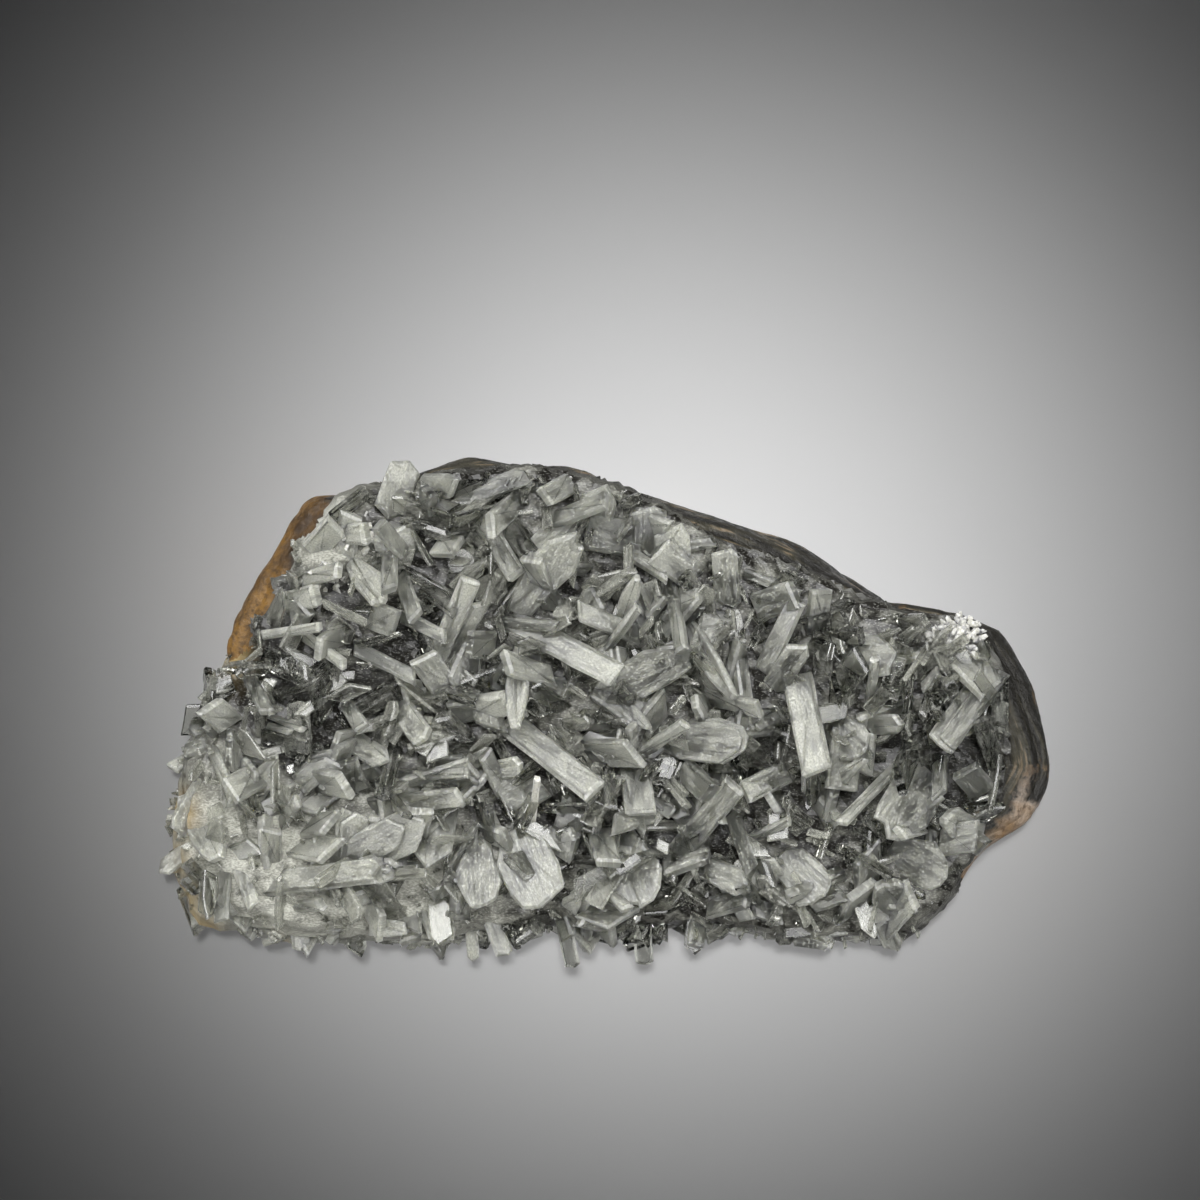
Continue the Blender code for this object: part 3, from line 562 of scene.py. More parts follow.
def planDistance(x, y, lines):  # to the nearest blade, as seen from above
    point = Vector((x, y))
    nearest = math.inf
    for (ax, ay), (bx, by) in lines:
        start, run = Vector((ax, ay)), Vector((bx - ax, by - ay))
        share = max(0.0, min(1.0, (point - start).dot(run) / max(run.length_squared, 1e-6)))
        nearest = min(nearest, (point - start - run * share).length)
    return nearest


# how cloudy the mat is, and its cloudier and clearer patches: x, y, radius, amount
clouds = {
    "usual": 0.42,
    "swing": 0.3,
    "size": 8.0,
    "slice": 3.7,
    "patches": [
        (-47, -16, 9, 0.35), (-33, -20, 12, 0.2), (-36, 20, 7, 0.5), (-8, 17, 8, 0.2), (42, 7, 4, 0.6),
        (-38, 3, 10, -0.15), (-25, 8, 7, -0.2), (-46, -1, 6, -0.1), (47, 4, 5, -0.15),
        (45, -8, 6, -0.45), (10, -22, 9, -0.25), (30, 12, 10, -0.2), (-20, 27, 7, -0.2),
    ],
}
# where the blades have grown into one milky mass
masses = {
    "usual": 0.24,
    "swing": 0.32,
    "size": 6.0,
    "slice": 8.1,
    "patches": [
        (-44, -20, 10, 0.9), (-30, -22, 11, 0.8), (-16, -24, 9, 0.5), (-46, -12, 6, 0.4), (-24, -12, 8, 0.2),
        (2, -26, 7, 0.15), (24, -26, 8, 0.2), (38, -22, 7, 0.25), (4, 4, 12, 0.2), (-34, 21, 7, 0.7),
        (30, 0, 8, 0.15), (10, 20, 8, 0.1), (46, -8, 5, -0.3), (40, -4, 3, -0.2),
    ],
}
# hollows where few blades grow and the dark shows: x, y, radius
hollows = [
    (-37, 0.6, 5.2), (-38.8, 8, 3.8), (-24.6, 7.3, 4.4), (-42.4, 0.9, 3.2), (-31, 13, 3.4),
    (-30.5, 3, 3.0), (46, -8, 4.0), (-33, -3, 3.0), (8, -14, 2.2), (36, -3, 2.0), (-22, 19, 2.5),
    (-44, 6, 2.5), (-17, -1, 1.8), (20, 2, 1.8), (12, 8, 1.6), (27, -9, 1.8), (-5, -14, 1.8),
    (-12, 8, 1.6),
]


def fade(x, y, px, py, radius):  # 1 in the middle of a patch, less around it
    return math.exp(-((x - px) ** 2 + (y - py) ** 2) / radius ** 2)


def patchAt(patches, x, y):
    return max(fade(x, y, px, py, radius) for px, py, radius in patches)


def fieldAt(field, x, y):
    size = field["size"]
    value = field["usual"] + field["swing"] * noise.noise(Vector((x / size, y / size, field["slice"])))
    for px, py, radius, amount in field["patches"]:
        value += amount * fade(x, y, px, py, radius)
    return value


def hollowAt(x, y):
    return patchAt(hollows, x, y)


def massAt(x, y):
    return max(0.0, min(1.0, fieldAt(masses, x, y))) * (1 - hollowAt(x, y)) ** 2


def cloudFor(x, y, chance):  # (amount, change towards the tip, change towards one side)
    amount = min(1.0, fieldAt(clouds, x, y) + chance.gauss(0, 0.24))
    return amount, chance.uniform(-0.25, 0.45), chance.uniform(-0.2, 0.2)


def growLargeBlades(store):
    lines = []
    for name, row in largeBlades.items():
        footX, footY, tipX, tipY, rise, width, thickness, turn = row
        foot = footAt(footX, footY)
        tip = lifted(foot, Vector((tipX, tipY, heightAt(tipX, tipY) + rise)))
        chance = random.Random(name)
        plain = chisel if width >= fullWidth else sheared
        usual = (plain, min(1, fieldAt(clouds, tipX, tipY) + chance.gauss(0, 0.15)), 0.3, 1)
        shape, cloud, change, leaves = characters.get(name, usual)
        outline = shape(chance, (tip - foot).length, width)
        addBlade(
            store, foot, tip, width, thickness, turn + rolls.get(name, 0), outline,
            (cloud, change, chance.uniform(-0.12, 0.12)), chance, leaves, bows.get(name, 0.0),
        )
        lines.append(((footX, footY), (tipX, tipY)))
    return lines


def growHangingTips(store):
    for side, rows in hangingTips.items():
        for number, row in enumerate(rows, 1):
            footX, footY, tipX, tipY, tipHeight, width, thickness, turn = row
            foot, tip = footAt(footX, footY), Vector((tipX, tipY, tipHeight))
            chance = random.Random(f"{side} tip {number}")
            outline = chisel(chance, (tip - foot).length, width)
            cloud = cloudFor(tipX, tipY, chance)
            addBlade(store, foot, tip, width, thickness, turn, outline, cloud, chance)


# further large blades where the named ones leave room
filling = {
    "count": 86,
    "trials": 20,       # places tried for each, of which the emptiest is taken
    "crustMargin": 0.5,
    "rockMargin": 1.0,
    "overhang": 2.4,    # how far one may pass the rock's rim
    "length": (6.0, 10.5),
    "width": (1.8, 4.2),
    "thickness": (0.9, 1.4),
    "steep": (18, 62),
    "turn": (-60, 60),
}


def growFilling(store, lines):
    chance = random.Random(seed)
    detail = random.Random(seed + 7)
    for number in range(filling["count"]):
        best, spread = None, -1.0
        for trial in range(filling["trials"]):
            x, y = chance.uniform(crustWest, crustEast), chance.uniform(crustSouth, crustNorth)
            if not inside(crustPlan, x, y, filling["crustMargin"]):
                continue
            if not inside(rockPlan, x, y, filling["rockMargin"]):
                continue
            empty = planDistance(x, y, lines)
            if empty > spread:
                best, spread = (x, y), empty
        length, degrees = draws(chance, filling, "length", "steep")
        heading = chance.uniform(0, math.tau)
        width, thickness, turn = draws(chance, filling, "width", "thickness", "turn")
        if best is None:
            continue
        x, y = best
        steep = math.radians(degrees)
        flat = math.cos(steep) * length
        run = Vector((math.cos(heading) * flat, math.sin(heading) * flat, math.sin(steep) * length))
        endX, endY = x + run.x, y + run.y
        if not inside(crustPlan, endX, endY) or not inside(rockPlan, endX, endY, -filling["overhang"]):
            run.x, run.y = -run.x, -run.y
        foot = footAt(x, y)
        tip = lifted(foot, foot + run)
        outline = sheared(chance, (tip - foot).length, width)
        addBlade(store, foot, tip, width, thickness, turn, outline, cloudFor(x, y, detail), detail)
        lines.append(((x, y), (x + run.x, y + run.y)))


# blades that stand out of the overgrown walls
skirt = {
    "count": 24,
    "arc": (178.0, 318.0),  # bearings between which the edge is overgrown
    "reach": 3.2,           # how far one stands out from the wall
    "foot": 0.6,            # and where it starts
    "lowest": 1.5,          # above the crust's lower edge
    "highest": 16.5,
    "length": (3.6, 5.2),
    "width": (2.0, 3.8),
    "thickness": (0.9, 1.3),
    "sideways": (-1.4, 1.4),    # shares of the outward part of its direction
    "upwards": (-0.3, 1.4),
    "turn": (-80, 80),
}


def growSkirt(store):
    chance = random.Random(seed + 1)
    start, end = skirt["arc"]
    for number in range(skirt["count"]):
        share = (number + chance.random()) / skirt["count"]
        angle = math.radians(start + (end - start) * share)
        out = Vector((math.cos(angle), math.sin(angle), 0))
        rim = out * reach(rockPlan, angle)
        height = chance.uniform(lowEdge(rim.x, rim.y) + skirt["lowest"], skirt["highest"])
        side = Vector((-out.y, out.x, 0))
        sideways, upwards = draws(chance, skirt, "sideways", "upwards")
        aim = (out + side * sideways + Vector((0, 0, upwards))).normalized()
        length, width, thickness, turn = draws(chance, skirt, "length", "width", "thickness", "turn")
        length = min(length, skirt["reach"] / aim.dot(out))
        foot = wallAt(out, height) + out * skirt["foot"]
        tip = foot + aim * length
        outline = sheared(chance, length, width)
        detail = random.Random(number)
        addBlade(store, foot, tip, width, thickness, turn, outline, cloudFor(foot.x, foot.y, detail), detail)


# which way most blades lie: x, y, bearing
headings = [
    (-18.8, 23.9, 20), (-32.6, 7.6, -25), (-37.6, 1.4, 8), (-46.3, -21, 75), (-12.6, -21, 80),
    (12.4, -11, -50), (31, -23.6, -35), (11.2, 17.6, 70), (-5, 11.4, 60), (37.4, 1.4, 60),
    (-22.6, -6, 25), (0, -6, -40), (45, -8.6, 20), (-46, -6, -50), (-31, 22, 50), (25, 8, 75),
    (22, -14, -60),
]
headingSpread = 32      # degrees
headingRange = 60.0     # square of the distance over which one matters

# where the rock's rind is bare: x, y, radius
bareRind = [(-37.6, 24.5, 3.4), (-41, 19.5, 3.2), (-43.5, 14.5, 3.0), (-46.0, 9.5, 2.6), (-33, 28.5, 2.4)]


def onRind(x, y):
    return any(math.hypot(x - px, y - py) < radius for px, py, radius in bareRind)


def headingAt(x, y, chance):
    # a bearing picked from those nearby, either way along it
    weights = [
        math.exp(-((x - hx) ** 2 + (y - hy) ** 2) / headingRange) + 0.01 for hx, hy, bearing in headings
    ]
    usual = chance.choices(headings, weights)[0][2]
    return math.radians(usual + chance.gauss(0, headingSpread) + chance.choice((0, 180)))


underside, wall = -0.7, 0.5   # a face whose normal has a lower z than this belongs to it


def overgrown(place, normal, margin):
    # on the walls the crystals reach right round the edge
    if normal.z < underside or onRind(place.x, place.y) or place.z < lowEdge(place.x, place.y):
        return False
    bearing = math.degrees(math.atan2(place.y, place.x)) % 360
    if normal.z < wall and skirt["arc"][0] < bearing < skirt["arc"][1]:
        margin = -1.5
    return inside(crustPlan, place.x, place.y, margin)


def rockSpots(count, chance):
    # places spread evenly over the overgrown part of the rock, with the way out from it
    faces, totals = [], []
    total = 0.0
    for face in rockNode.data.polygons:
        if face.normal.z < underside:
            continue
        total += face.area
        totals.append(total)
        faces.append(([rockNode.data.vertices[index].co / mm for index in face.vertices], face.normal.copy()))
    spots = []
    while len(spots) < count:
        corners, normal = faces[min(bisect_left(totals, chance.random() * total), len(faces) - 1)]
        a, b = chance.random(), chance.random()
        if a + b > 1:
            a, b = 1 - a, 1 - b
        place = corners[0] + (corners[1] - corners[0]) * a + (corners[2] - corners[0]) * b
        if overgrown(place, normal, 0.6):
            spots.append((place, normal))
    return spots


# the smaller blades between the large ones; hollow is how far they stay out of hollows
# and mass how far they keep to the milky masses
thickets = [
    {
        "name": "bedded_blades", "count": 430, "length": (4.0, 8.5), "width": (2.4, 5.0),
        "thickness": (0.7, 1.5), "steep": (0, 32), "rise": (0.2, 1.4), "twins": 0.3, "hollow": 1.0,
        "turn": (-75, 75), "mass": 0.8,
    },
    {
        "name": "medium_blades", "count": 700, "length": (3.8, 9.0), "width": (1.1, 3.3),
        "thickness": (0.3, 0.8), "steep": (2, 50), "rise": (0.4, 2.8), "twins": 0.5, "hollow": 0.85,
        "turn": (-75, 75), "mass": 0.0,
    },
    {
        "name": "small_blades", "count": 750, "length": (2.2, 5.0), "width": (0.5, 1.6),
        "thickness": (0.18, 0.45), "steep": (5, 70), "rise": (0.4, 3.0), "twins": 0.3, "hollow": 0.97,
        "turn": (-75, 75), "mass": 0.0,
    },
]
thicketStyle = {
    "slope": 0.4,       # how far the way a blade lies leaves the level
    "massRise": 1.2,    # higher by this where they have grown into a mass
    "wallShare": 0.7,   # length on the walls
    "margins": (0.2, -1.6),     # from the crust's edge, on top and on the walls
    "overhang": 2.5,
    "underEdge": 1.0,   # a tip may hang this far below the crust's lower edge
    "clearance": 0.3,   # and stays this far under a large blade
    "stray": 0.06,      # share that hides a large blade all the same
    "shapes": (sheared, chisel, stepped, lath, shard, shard),
    "twinAside": (-0.5, 0.5),
    "twinAbove": (0.7, 1.3),
    "twinLength": (0.55, 0.95),
    "twinWidth": (0.6, 1.1),
    "twinTurn": (-6, 6),
}
twinDraws = ("twinAside", "twinAbove", "twinLength", "twinWidth", "twinTurn")


def covered(tree, foot, tip):
    # whether a blade would hide a large one from above
    for share in (0.0, 0.33, 0.67, 1.0):
        here = foot.lerp(tip, share)
        hit = tree.ray_cast(Vector((here.x, here.y, 100)), Vector((0, 0, -1)))[0]
        if hit and here.z > hit.z - thicketStyle["clearance"]:
            return True
    return False


def growThicket(store, style, offset, largeTree):
    chance = random.Random(seed + offset)
    for place, normal in rockSpots(style["count"], chance):
        length, width, thickness = draws(chance, style, "length", "width", "thickness")
        heading = headingAt(place.x, place.y, chance)
        side = Vector((math.cos(heading), math.sin(heading), chance.gauss(0, thicketStyle["slope"])))
        side = (side - normal * side.dot(normal)).normalized()
        degrees, rise, turn = draws(chance, style, "steep", "rise", "turn")
        steep = math.radians(degrees)
        aim = side * math.cos(steep) + normal * math.sin(steep)
        foot = place + normal * rise
        cloud = cloudFor(foot.x, foot.y, chance)
        shape = thicketStyle["shapes"][chance.randrange(len(thicketStyle["shapes"]))]
        if chance.random() < hollowAt(foot.x, foot.y) * style["hollow"]:
            continue
        foot = foot + normal * massAt(foot.x, foot.y) * thicketStyle["massRise"]
        if chance.random() < style["mass"] * (1 - 1.4 * massAt(foot.x, foot.y)):
            continue
        margin, wallMargin = thicketStyle["margins"]
        if normal.z < wall and inside(crustPlan, place.x, place.y, -1.0):
            # on the walls they lie closer and may stand a little further out
            length, margin = length * thicketStyle["wallShare"], wallMargin
        brood = 1 + (chance.random() < style["twins"]) + (chance.random() < style["twins"] * 0.5)
        for member in range(brood):
            tip = foot + aim * length
            if not inside(rockPlan, tip.x, tip.y, -thicketStyle["overhang"]):
                break
            if not inside(crustPlan, tip.x, tip.y, margin):
                break
            if onRind(tip.x, tip.y) or onRind(foot.x, foot.y):
                break
            if tip.z < lowEdge(tip.x, tip.y) - thicketStyle["underEdge"]:
                break
            if not covered(largeTree, foot, tip) or chance.random() < thicketStyle["stray"]:
                outline = shape(chance, length, width)
                addBlade(store, foot, tip, width, thickness, turn, outline, cloud, chance)
            across, along, facing = bladeAxes(foot, tip, turn)
            aside, above, shorter, narrower, twist = draws(chance, thicketStyle, *twinDraws)
            foot = foot + across * width * aside + facing * thickness * above
            length *= shorter
            width *= narrower
            turn += twist


druse = {
    "count": 1700,
    "length": (0.7, 2.0),
    "width": (0.35, 1.1),
    "thickness": (0.12, 0.3),   # half of it, as a share of the width
    "turn": (-90, 90),
    "outwards": 1.3,            # how far they keep to the rock's normal
    "rise": (0.3, 1.6),         # above the rock, and more where it is one mass
    "hollow": 1.6,
}


def growDruse(store):
    chance = random.Random(seed + 3)
    for place, normal in rockSpots(druse["count"], chance):
        length, width = draws(chance, druse, "length", "width")
        if chance.random() < druse["hollow"] * hollowAt(place.x, place.y) or onRind(place.x, place.y):
            continue
        side = Vector((chance.gauss(0, 1), chance.gauss(0, 1), chance.gauss(0, 1)))
        aim = (normal * druse["outwards"] + side).normalized()
        low, more = druse["rise"]
        foot = place + normal * (low + more * massAt(place.x, place.y))
        tip = foot + aim * length
        outline = sheared(chance, length, width)
        axes = bladeAxes(foot, tip, chance.uniform(*druse["turn"]))
        thin = width * chance.uniform(*druse["thickness"])
        # the last numbers are the paler rim: frosting, and painted highlight on the edge
        levels = [(-thin, thin * 0.2, 0.5), (0, 0, 1.0), (thin, thin * 0.4, 0.3)]
        cloud = cloudFor(place.x, place.y, chance)
        loft(store, (foot + tip) / 2, axes, outline, levels, finishOf(cloud[0]), cloud)


sugar = {
    "patches": [    # x, y, radius, number of grains
        (-31.5, 21.5, 3.4, 80), (-34.5, 17.0, 2.0, 40), (44.6, 8.9, 2.9, 190), (41.8, 8.2, 1.6, 40),
    ],
    "length": (0.7, 1.5),
    "width": (0.5, 1.2),
    "thickness": (0.15, 0.4),   # half of it
    "steep": (-35, 60),
    "turn": (-70, 70),
    "rise": (1.4, 2.8),         # above the rock
    "dome": (1.2, 0.7),         # times this in the middle, and less by this at the edge
}


def growSugar(store):
    chance = random.Random(seed + 4)
    for px, py, radius, count in sugar["patches"]:
        for grain in range(count):
            away, angle = radius * math.sqrt(chance.random()), chance.uniform(0, math.tau)
            x, y = px + away * math.cos(angle), py + away * math.sin(angle)
            length, width = draws(chance, sugar, "length", "width")
            heading = chance.uniform(0, math.tau)
            degrees, rise, thin, turn = draws(chance, sugar, "steep", "rise", "thickness", "turn")
            steep = math.radians(degrees)
            flat = math.cos(steep)
            aim = Vector((math.cos(heading) * flat, math.sin(heading) * flat, math.sin(steep)))
            most, drop = sugar["dome"]
            foot = Vector((x, y, heightAt(x, y) + rise * (most - drop * away / radius)))
            # the last numbers are the paler rim: frosting, and painted highlight on the edge
            levels = [(-thin, thin * 0.4, 0.5), (0, 0, 1.0), (thin, thin * 0.6, 0.3)]
            axes = bladeAxes(foot, foot + aim, turn)
            outline = shard(chance, length, width)
            loft(store, foot + aim * length / 2, axes, outline, levels, sugary, (1.0, 0.0, 0.0))


# the crust that the blades stand in
crustStyle = {
    "spacing": 0.9,     # longest edge of its mesh
    "thin": 0.4,
    "thick": 1.9,       # added where it is one mass
    "sunk": 0.3,        # how far its inner side is inside the rock
    "bumps": 0.7,
    "cells": 0.42,      # bumps per millimetre
    "waves": 0.3,
    "ragged": 1.8,      # how uneven its lower edge is
    "flat": 0.6,        # normals pointing up more than this are on top
    "stains": [         # of rust: x, y, radius
        (-53.5, -13, 2.6), (-54.5, -19, 2.2), (-53, -24, 2.4), (-50, -28, 2.0), (-47, 6, 2.5),
        (-41, -30, 1.5),
    ],
}


def rockCopy(spacing):
    # joins doubled corners, then splits edges until none is longer than this
    mesh = bmesh.new()
    mesh.from_mesh(rockNode.data)
    bmesh.ops.remove_doubles(mesh, verts=mesh.verts[:], dist=0.01 * mm)
    for attempt in range(6):
        long = [edge for edge in mesh.edges if edge.calc_length() > spacing * mm]
        if not long:
            break
        bmesh.ops.subdivide_edges(mesh, edges=long, cuts=1, use_grid_fill=False)
        bmesh.ops.triangulate(mesh, faces=[face for face in mesh.faces if len(face.verts) > 3])
    return mesh


def meshWith(mesh, name, layers):
    made = bpy.data.meshes.new(name)
    mesh.to_mesh(made)
    mesh.free()
    for layer, kind in layers.items():
        made.attributes.new(layer, kind, "POINT")
    return made


def growCrust():
    mesh = rockCopy(crustStyle["spacing"])
    bare = []
    for face in mesh.faces:
        place = face.calc_center_median() / mm
        ragged = crustStyle["ragged"] * (noise.noise(place * 0.35) + 0.5 * noise.noise(place * 1.1))
        if not overgrown(place - Vector((0, 0, ragged)), face.normal, 0.0):
            bare.append(face)
    bmesh.ops.delete(mesh, geom=bare, context="FACES")
    mesh.normal_update()
    outer = bmesh.ops.extrude_face_region(mesh, geom=mesh.faces[:] + mesh.edges[:] + mesh.verts[:])
    moved = {item for item in outer["geom"] if isinstance(item, bmesh.types.BMVert)}
    for vert in mesh.verts:
        place = vert.co / mm
        if vert in moved:
            cell = noise.voronoi(place * crustStyle["cells"])[0]
            bump = (cell[1] - cell[0]) * 0.7 + 0.5 * noise.noise(place * crustStyle["waves"])
            thick = crustStyle["thin"] + crustStyle["thick"] * massAt(place.x, place.y)
            vert.co += vert.normal * mm * (thick + crustStyle["bumps"] * bump)
        else:
            vert.co -= vert.normal * mm * crustStyle["sunk"]
    bmesh.ops.recalc_face_normals(mesh, faces=mesh.faces)
    # extruding leaves its side faces in another order each run, so they are all put in order
    mesh.verts.index_update()
    ordered = sorted(mesh.faces, key=lambda face: [vert.index for vert in face.verts])
    ranks = {face: rank for rank, face in enumerate(ordered)}
    mesh.faces.sort(key=lambda face: ranks[face])
    made = meshWith(mesh, "crystal_crust", {"cloud": "FLOAT", "stain": "FLOAT", "grain": "FLOAT_VECTOR"})
    places = [vert.co / mm for vert in made.vertices]
    for vert in made.vertices:
        box = zip(vert.co, boxLow, boxHigh)
        vert.co = [min(max(value, low * mm), high * mm) for value, low, high in box]
    milky = [massAt(place.x, place.y) for place in places]
    rusty = [patchAt(crustStyle["stains"], place.x, place.y) for place in places]
    grain = []
    for place, vert in zip(places, made.vertices):
        # down the walls it runs along the bearing and the height
        along, across = 40 * math.atan2(place.x, -place.y), place.z
        if vert.normal.z > crustStyle["flat"]:
            along, across = place.x, place.y
        grain += (0.6 * along, 1.6 * across, 0)
    made.attributes["cloud"].data.foreach_set("value", milky)
    made.attributes["stain"].data.foreach_set("value", rusty)
    made.attributes["grain"].data.foreach_set("vector", grain)
    return made


def newMaterial(name):
    material = bpy.data.materials.new(name)
    material.use_nodes = True
    tree = material.node_tree
    tree.nodes.clear()
    output = tree.nodes.new("ShaderNodeOutputMaterial")
    shader = tree.nodes.new("ShaderNodeBsdfPrincipled")
    tree.links.new(shader.outputs["BSDF"], output.inputs["Surface"])
    return material, tree, shader, output


def noiseNode(tree, vector, scale, detail=3.0, roughness=0.55, dimensions="3D"):
    made = tree.nodes.new("ShaderNodeTexNoise")
    made.inputs["Scale"].default_value = scale
    made.inputs["Detail"].default_value = detail
    made.inputs["Roughness"].default_value = roughness
    made.noise_dimensions = dimensions
    tree.links.new(vector, made.inputs["Vector"])
    return made.outputs["Fac"]


def mapRange(tree, value, fromLow, fromHigh, toLow=0.0, toHigh=1.0):
    made = tree.nodes.new("ShaderNodeMapRange")
    ends = {"From Min": fromLow, "From Max": fromHigh, "To Min": toLow, "To Max": toHigh}
    for name, number in ends.items():
        made.inputs[name].default_value = number
    tree.links.new(value, made.inputs["Value"])
    return made.outputs["Result"]


def arithmetic(tree, operation, first, second):
    made = tree.nodes.new("ShaderNodeMath")
    made.operation = operation
    for index, value in enumerate((first, second)):
        if isinstance(value, (int, float)):
            made.inputs[index].default_value = value
        else:
            tree.links.new(value, made.inputs[index])
    return made.outputs[0]


def plus(tree, first, second):
    return arithmetic(tree, "ADD", first, second)


def times(tree, first, second):
    return arithmetic(tree, "MULTIPLY", first, second)


def mixColour(tree, factor, first, second):
    made = tree.nodes.new("ShaderNodeMix")
    made.data_type = "RGBA"
    tree.links.new(factor, made.inputs["Factor"])
    for socket, colour in ((6, first), (7, second)):
        if isinstance(colour, tuple):
            made.inputs[socket].default_value = (*colour, 1.0)
        else:
            tree.links.new(colour, made.inputs[socket])
    return made.outputs[2]


def attribute(tree, name, output):
    made = tree.nodes.new("ShaderNodeAttribute")
    made.attribute_name = name
    return made.outputs[output]


def scaled(tree, vector, scale):
    made = tree.nodes.new("ShaderNodeMapping")
    made.inputs["Scale"].default_value = scale
    tree.links.new(vector, made.inputs["Vector"])
    return made.outputs["Vector"]


def bumpNode(tree, height, strength, distance):
    made = tree.nodes.new("ShaderNodeBump")
    made.inputs["Strength"].default_value = strength
    made.inputs["Distance"].default_value = distance
    tree.links.new(height, made.inputs["Height"])
    return made.outputs["Normal"]


# see is how much light goes through where it is clearest and where it is cloudiest,
# and roughness runs the same way; glow is the light that spreads inside
# rim is how much paler the edges are made: frosting, and painted highlight along them
finishes = {
    # specks is how many white specks there are: pits, and painted glints
    "clear": {
        "pale": (0.68, 0.68, 0.605), "shade": (0.5, 0.5, 0.445), "glass": (0.74, 0.745, 0.70),
        "see": (1.0, 0.8), "rim": 0.25, "roughness": (0.04, 0.3), "bump": 0.06, "glow": 0.0, "gloss": 0.6,
        "specksAndGlints": 0.3, "streaks": 1.0, "absorb": (0.50, 0.52, 0.46), "density": 130.0,
    },
    "cloudy": {
        "pale": (0.78, 0.785, 0.70), "shade": (0.52, 0.525, 0.465), "glass": (0.66, 0.665, 0.615),
        "see": (1.0, 0.62), "rim": 0.12, "roughness": (0.29, 0.46), "bump": 0.35, "glow": 1.0, "gloss": 0.3,
        "specksAndGlints": 0.8, "streaks": 1.0,
    },
    "hazy": {
        "pale": (0.75, 0.755, 0.67), "shade": (0.54, 0.545, 0.485), "glass": (0.61, 0.615, 0.565),
        "see": (1.0, 0.77), "rim": 0.2, "roughness": (0.07, 0.26), "bump": 0.05, "glow": 0.0, "gloss": 0.4,
        "specksAndGlints": 0.3, "streaks": 1.0,
    },
    "sugary": {
        "pale": (0.74, 0.73, 0.655), "shade": (0.56, 0.55, 0.49), "glass": (0.72, 0.72, 0.66),
        "see": (0.5, 0.15), "rim": 0.2, "roughness": (0.25, 0.5), "bump": 0.4, "glow": 1.0, "gloss": 0.4,
        "specksAndGlints": 0.4, "streaks": 0.5,
    },
    "crust": {
        "pale": (0.42, 0.42, 0.365), "shade": (0.24, 0.24, 0.21), "glass": (0.009, 0.008, 0.006),
        "stain": (0.34, 0.25, 0.11), "see": (0.0, 0.0), "rim": 0.0, "roughness": (0.3, 0.5), "bump": 0.35,
        "glow": 0.0, "gloss": 0.3, "specksAndGlints": 0.15, "streaks": 0.0,
    },
}
# what all of them have: the patterns follow a blade's grain, (repeats across, along)
barite = {
    "index": 1.636,
    "puffs": (0.6, 0.34, 1.0),
    "streaks": (2.2, 0.22, 1.0),
    "grit": (4.6, 3.2, 1.0),
    # colour of the white specks: pits, and painted glints
    "speckAndGlint": (0.86, 0.86, 0.80),
    "glowRadius": (1.0, 1.0, 0.9),
    "glowDepth": 0.0009,
    "relief": 0.00009,
}


def bariteMaterial(name):
    look = finishes[name]
    material, tree, shader, output = newMaterial(name + " barite")
    grain = attribute(tree, "grain", "Vector")
    puffs = noiseNode(tree, scaled(tree, grain, barite["puffs"]), 1.0, 2.0, 0.5, "2D")
    streaks = noiseNode(tree, scaled(tree, grain, barite["streaks"]), 1.0, 2.0, 0.55, "2D")
    grit = noiseNode(tree, scaled(tree, grain, barite["grit"]), 1.0, 1.0, 0.6, "2D")
    # the rim makes the edges paler: partly frosting, partly a painted highlight for the light the edges catch
    rim = times(tree, attribute(tree, "rim", "Fac"), mapRange(tree, grit, 0.35, 0.6, 0.2))
    cloud = plus(tree, attribute(tree, "cloud", "Fac"), mapRange(tree, puffs, 0.3, 0.72, -0.3, 0.28))
    cloud = plus(tree, cloud, times(tree, rim, look["rim"]))
    strength = look["streaks"]
    cloud = plus(tree, cloud, mapRange(tree, streaks, 0.36, 0.66, -0.1 * strength, 0.26 * strength))
    amount = mapRange(tree, cloud, 0.18, 1.12)
    # white specks in the base colour: partly pits, partly painted glints
    speckAndGlint = mapRange(tree, grit, 0.62, 0.69, 0.0, look["specksAndGlints"])
    colour = mixColour(tree, mapRange(tree, grit, 0.3, 0.6), look["shade"], look["pale"])
    colour = mixColour(tree, speckAndGlint, mixColour(tree, amount, look["glass"], colour), barite["speckAndGlint"])
    if "stain" in look:
        colour = mixColour(tree, attribute(tree, "stain", "Fac"), colour, look["stain"])
    tree.links.new(colour, shader.inputs["Base Color"])
    rough = mapRange(tree, amount, 0.0, 1.0, *look["roughness"])
    tree.links.new(rough, shader.inputs["Roughness"])
    seen = mapRange(tree, amount, 0.0, 1.0, *look["see"])
    seen = arithmetic(tree, "SUBTRACT", seen, times(tree, speckAndGlint, 0.4))
    tree.links.new(arithmetic(tree, "MAXIMUM", seen, 0.0), shader.inputs["Transmission Weight"])
    shader.inputs["IOR"].default_value = barite["index"]
    if look["glow"]:
        shader.inputs["Subsurface Weight"].default_value = look["glow"]
        shader.inputs["Subsurface Radius"].default_value = barite["glowRadius"]
        shader.inputs["Subsurface Scale"].default_value = barite["glowDepth"]
    shader.inputs["Specular IOR Level"].default_value = look["gloss"]
    ribs = times(tree, streaks, strength)
    relief = plus(tree, times(tree, grit, 0.6), ribs)
    tree.links.new(bumpNode(tree, relief, look["bump"], barite["relief"]), shader.inputs["Normal"])
    if "density" in look:
        absorb = tree.nodes.new("ShaderNodeVolumeAbsorption")
        absorb.inputs["Color"].default_value = (*look["absorb"], 1.0)
        absorb.inputs["Density"].default_value = look["density"]
        tree.links.new(absorb.outputs["Volume"], output.inputs["Volume"])
    return material


clearBarite, cloudyBarite, hazyBarite, sugaryBarite, crustBarite = [
    bariteMaterial(name) for name in ("clear", "cloudy", "hazy", "sugary", "crust")
]


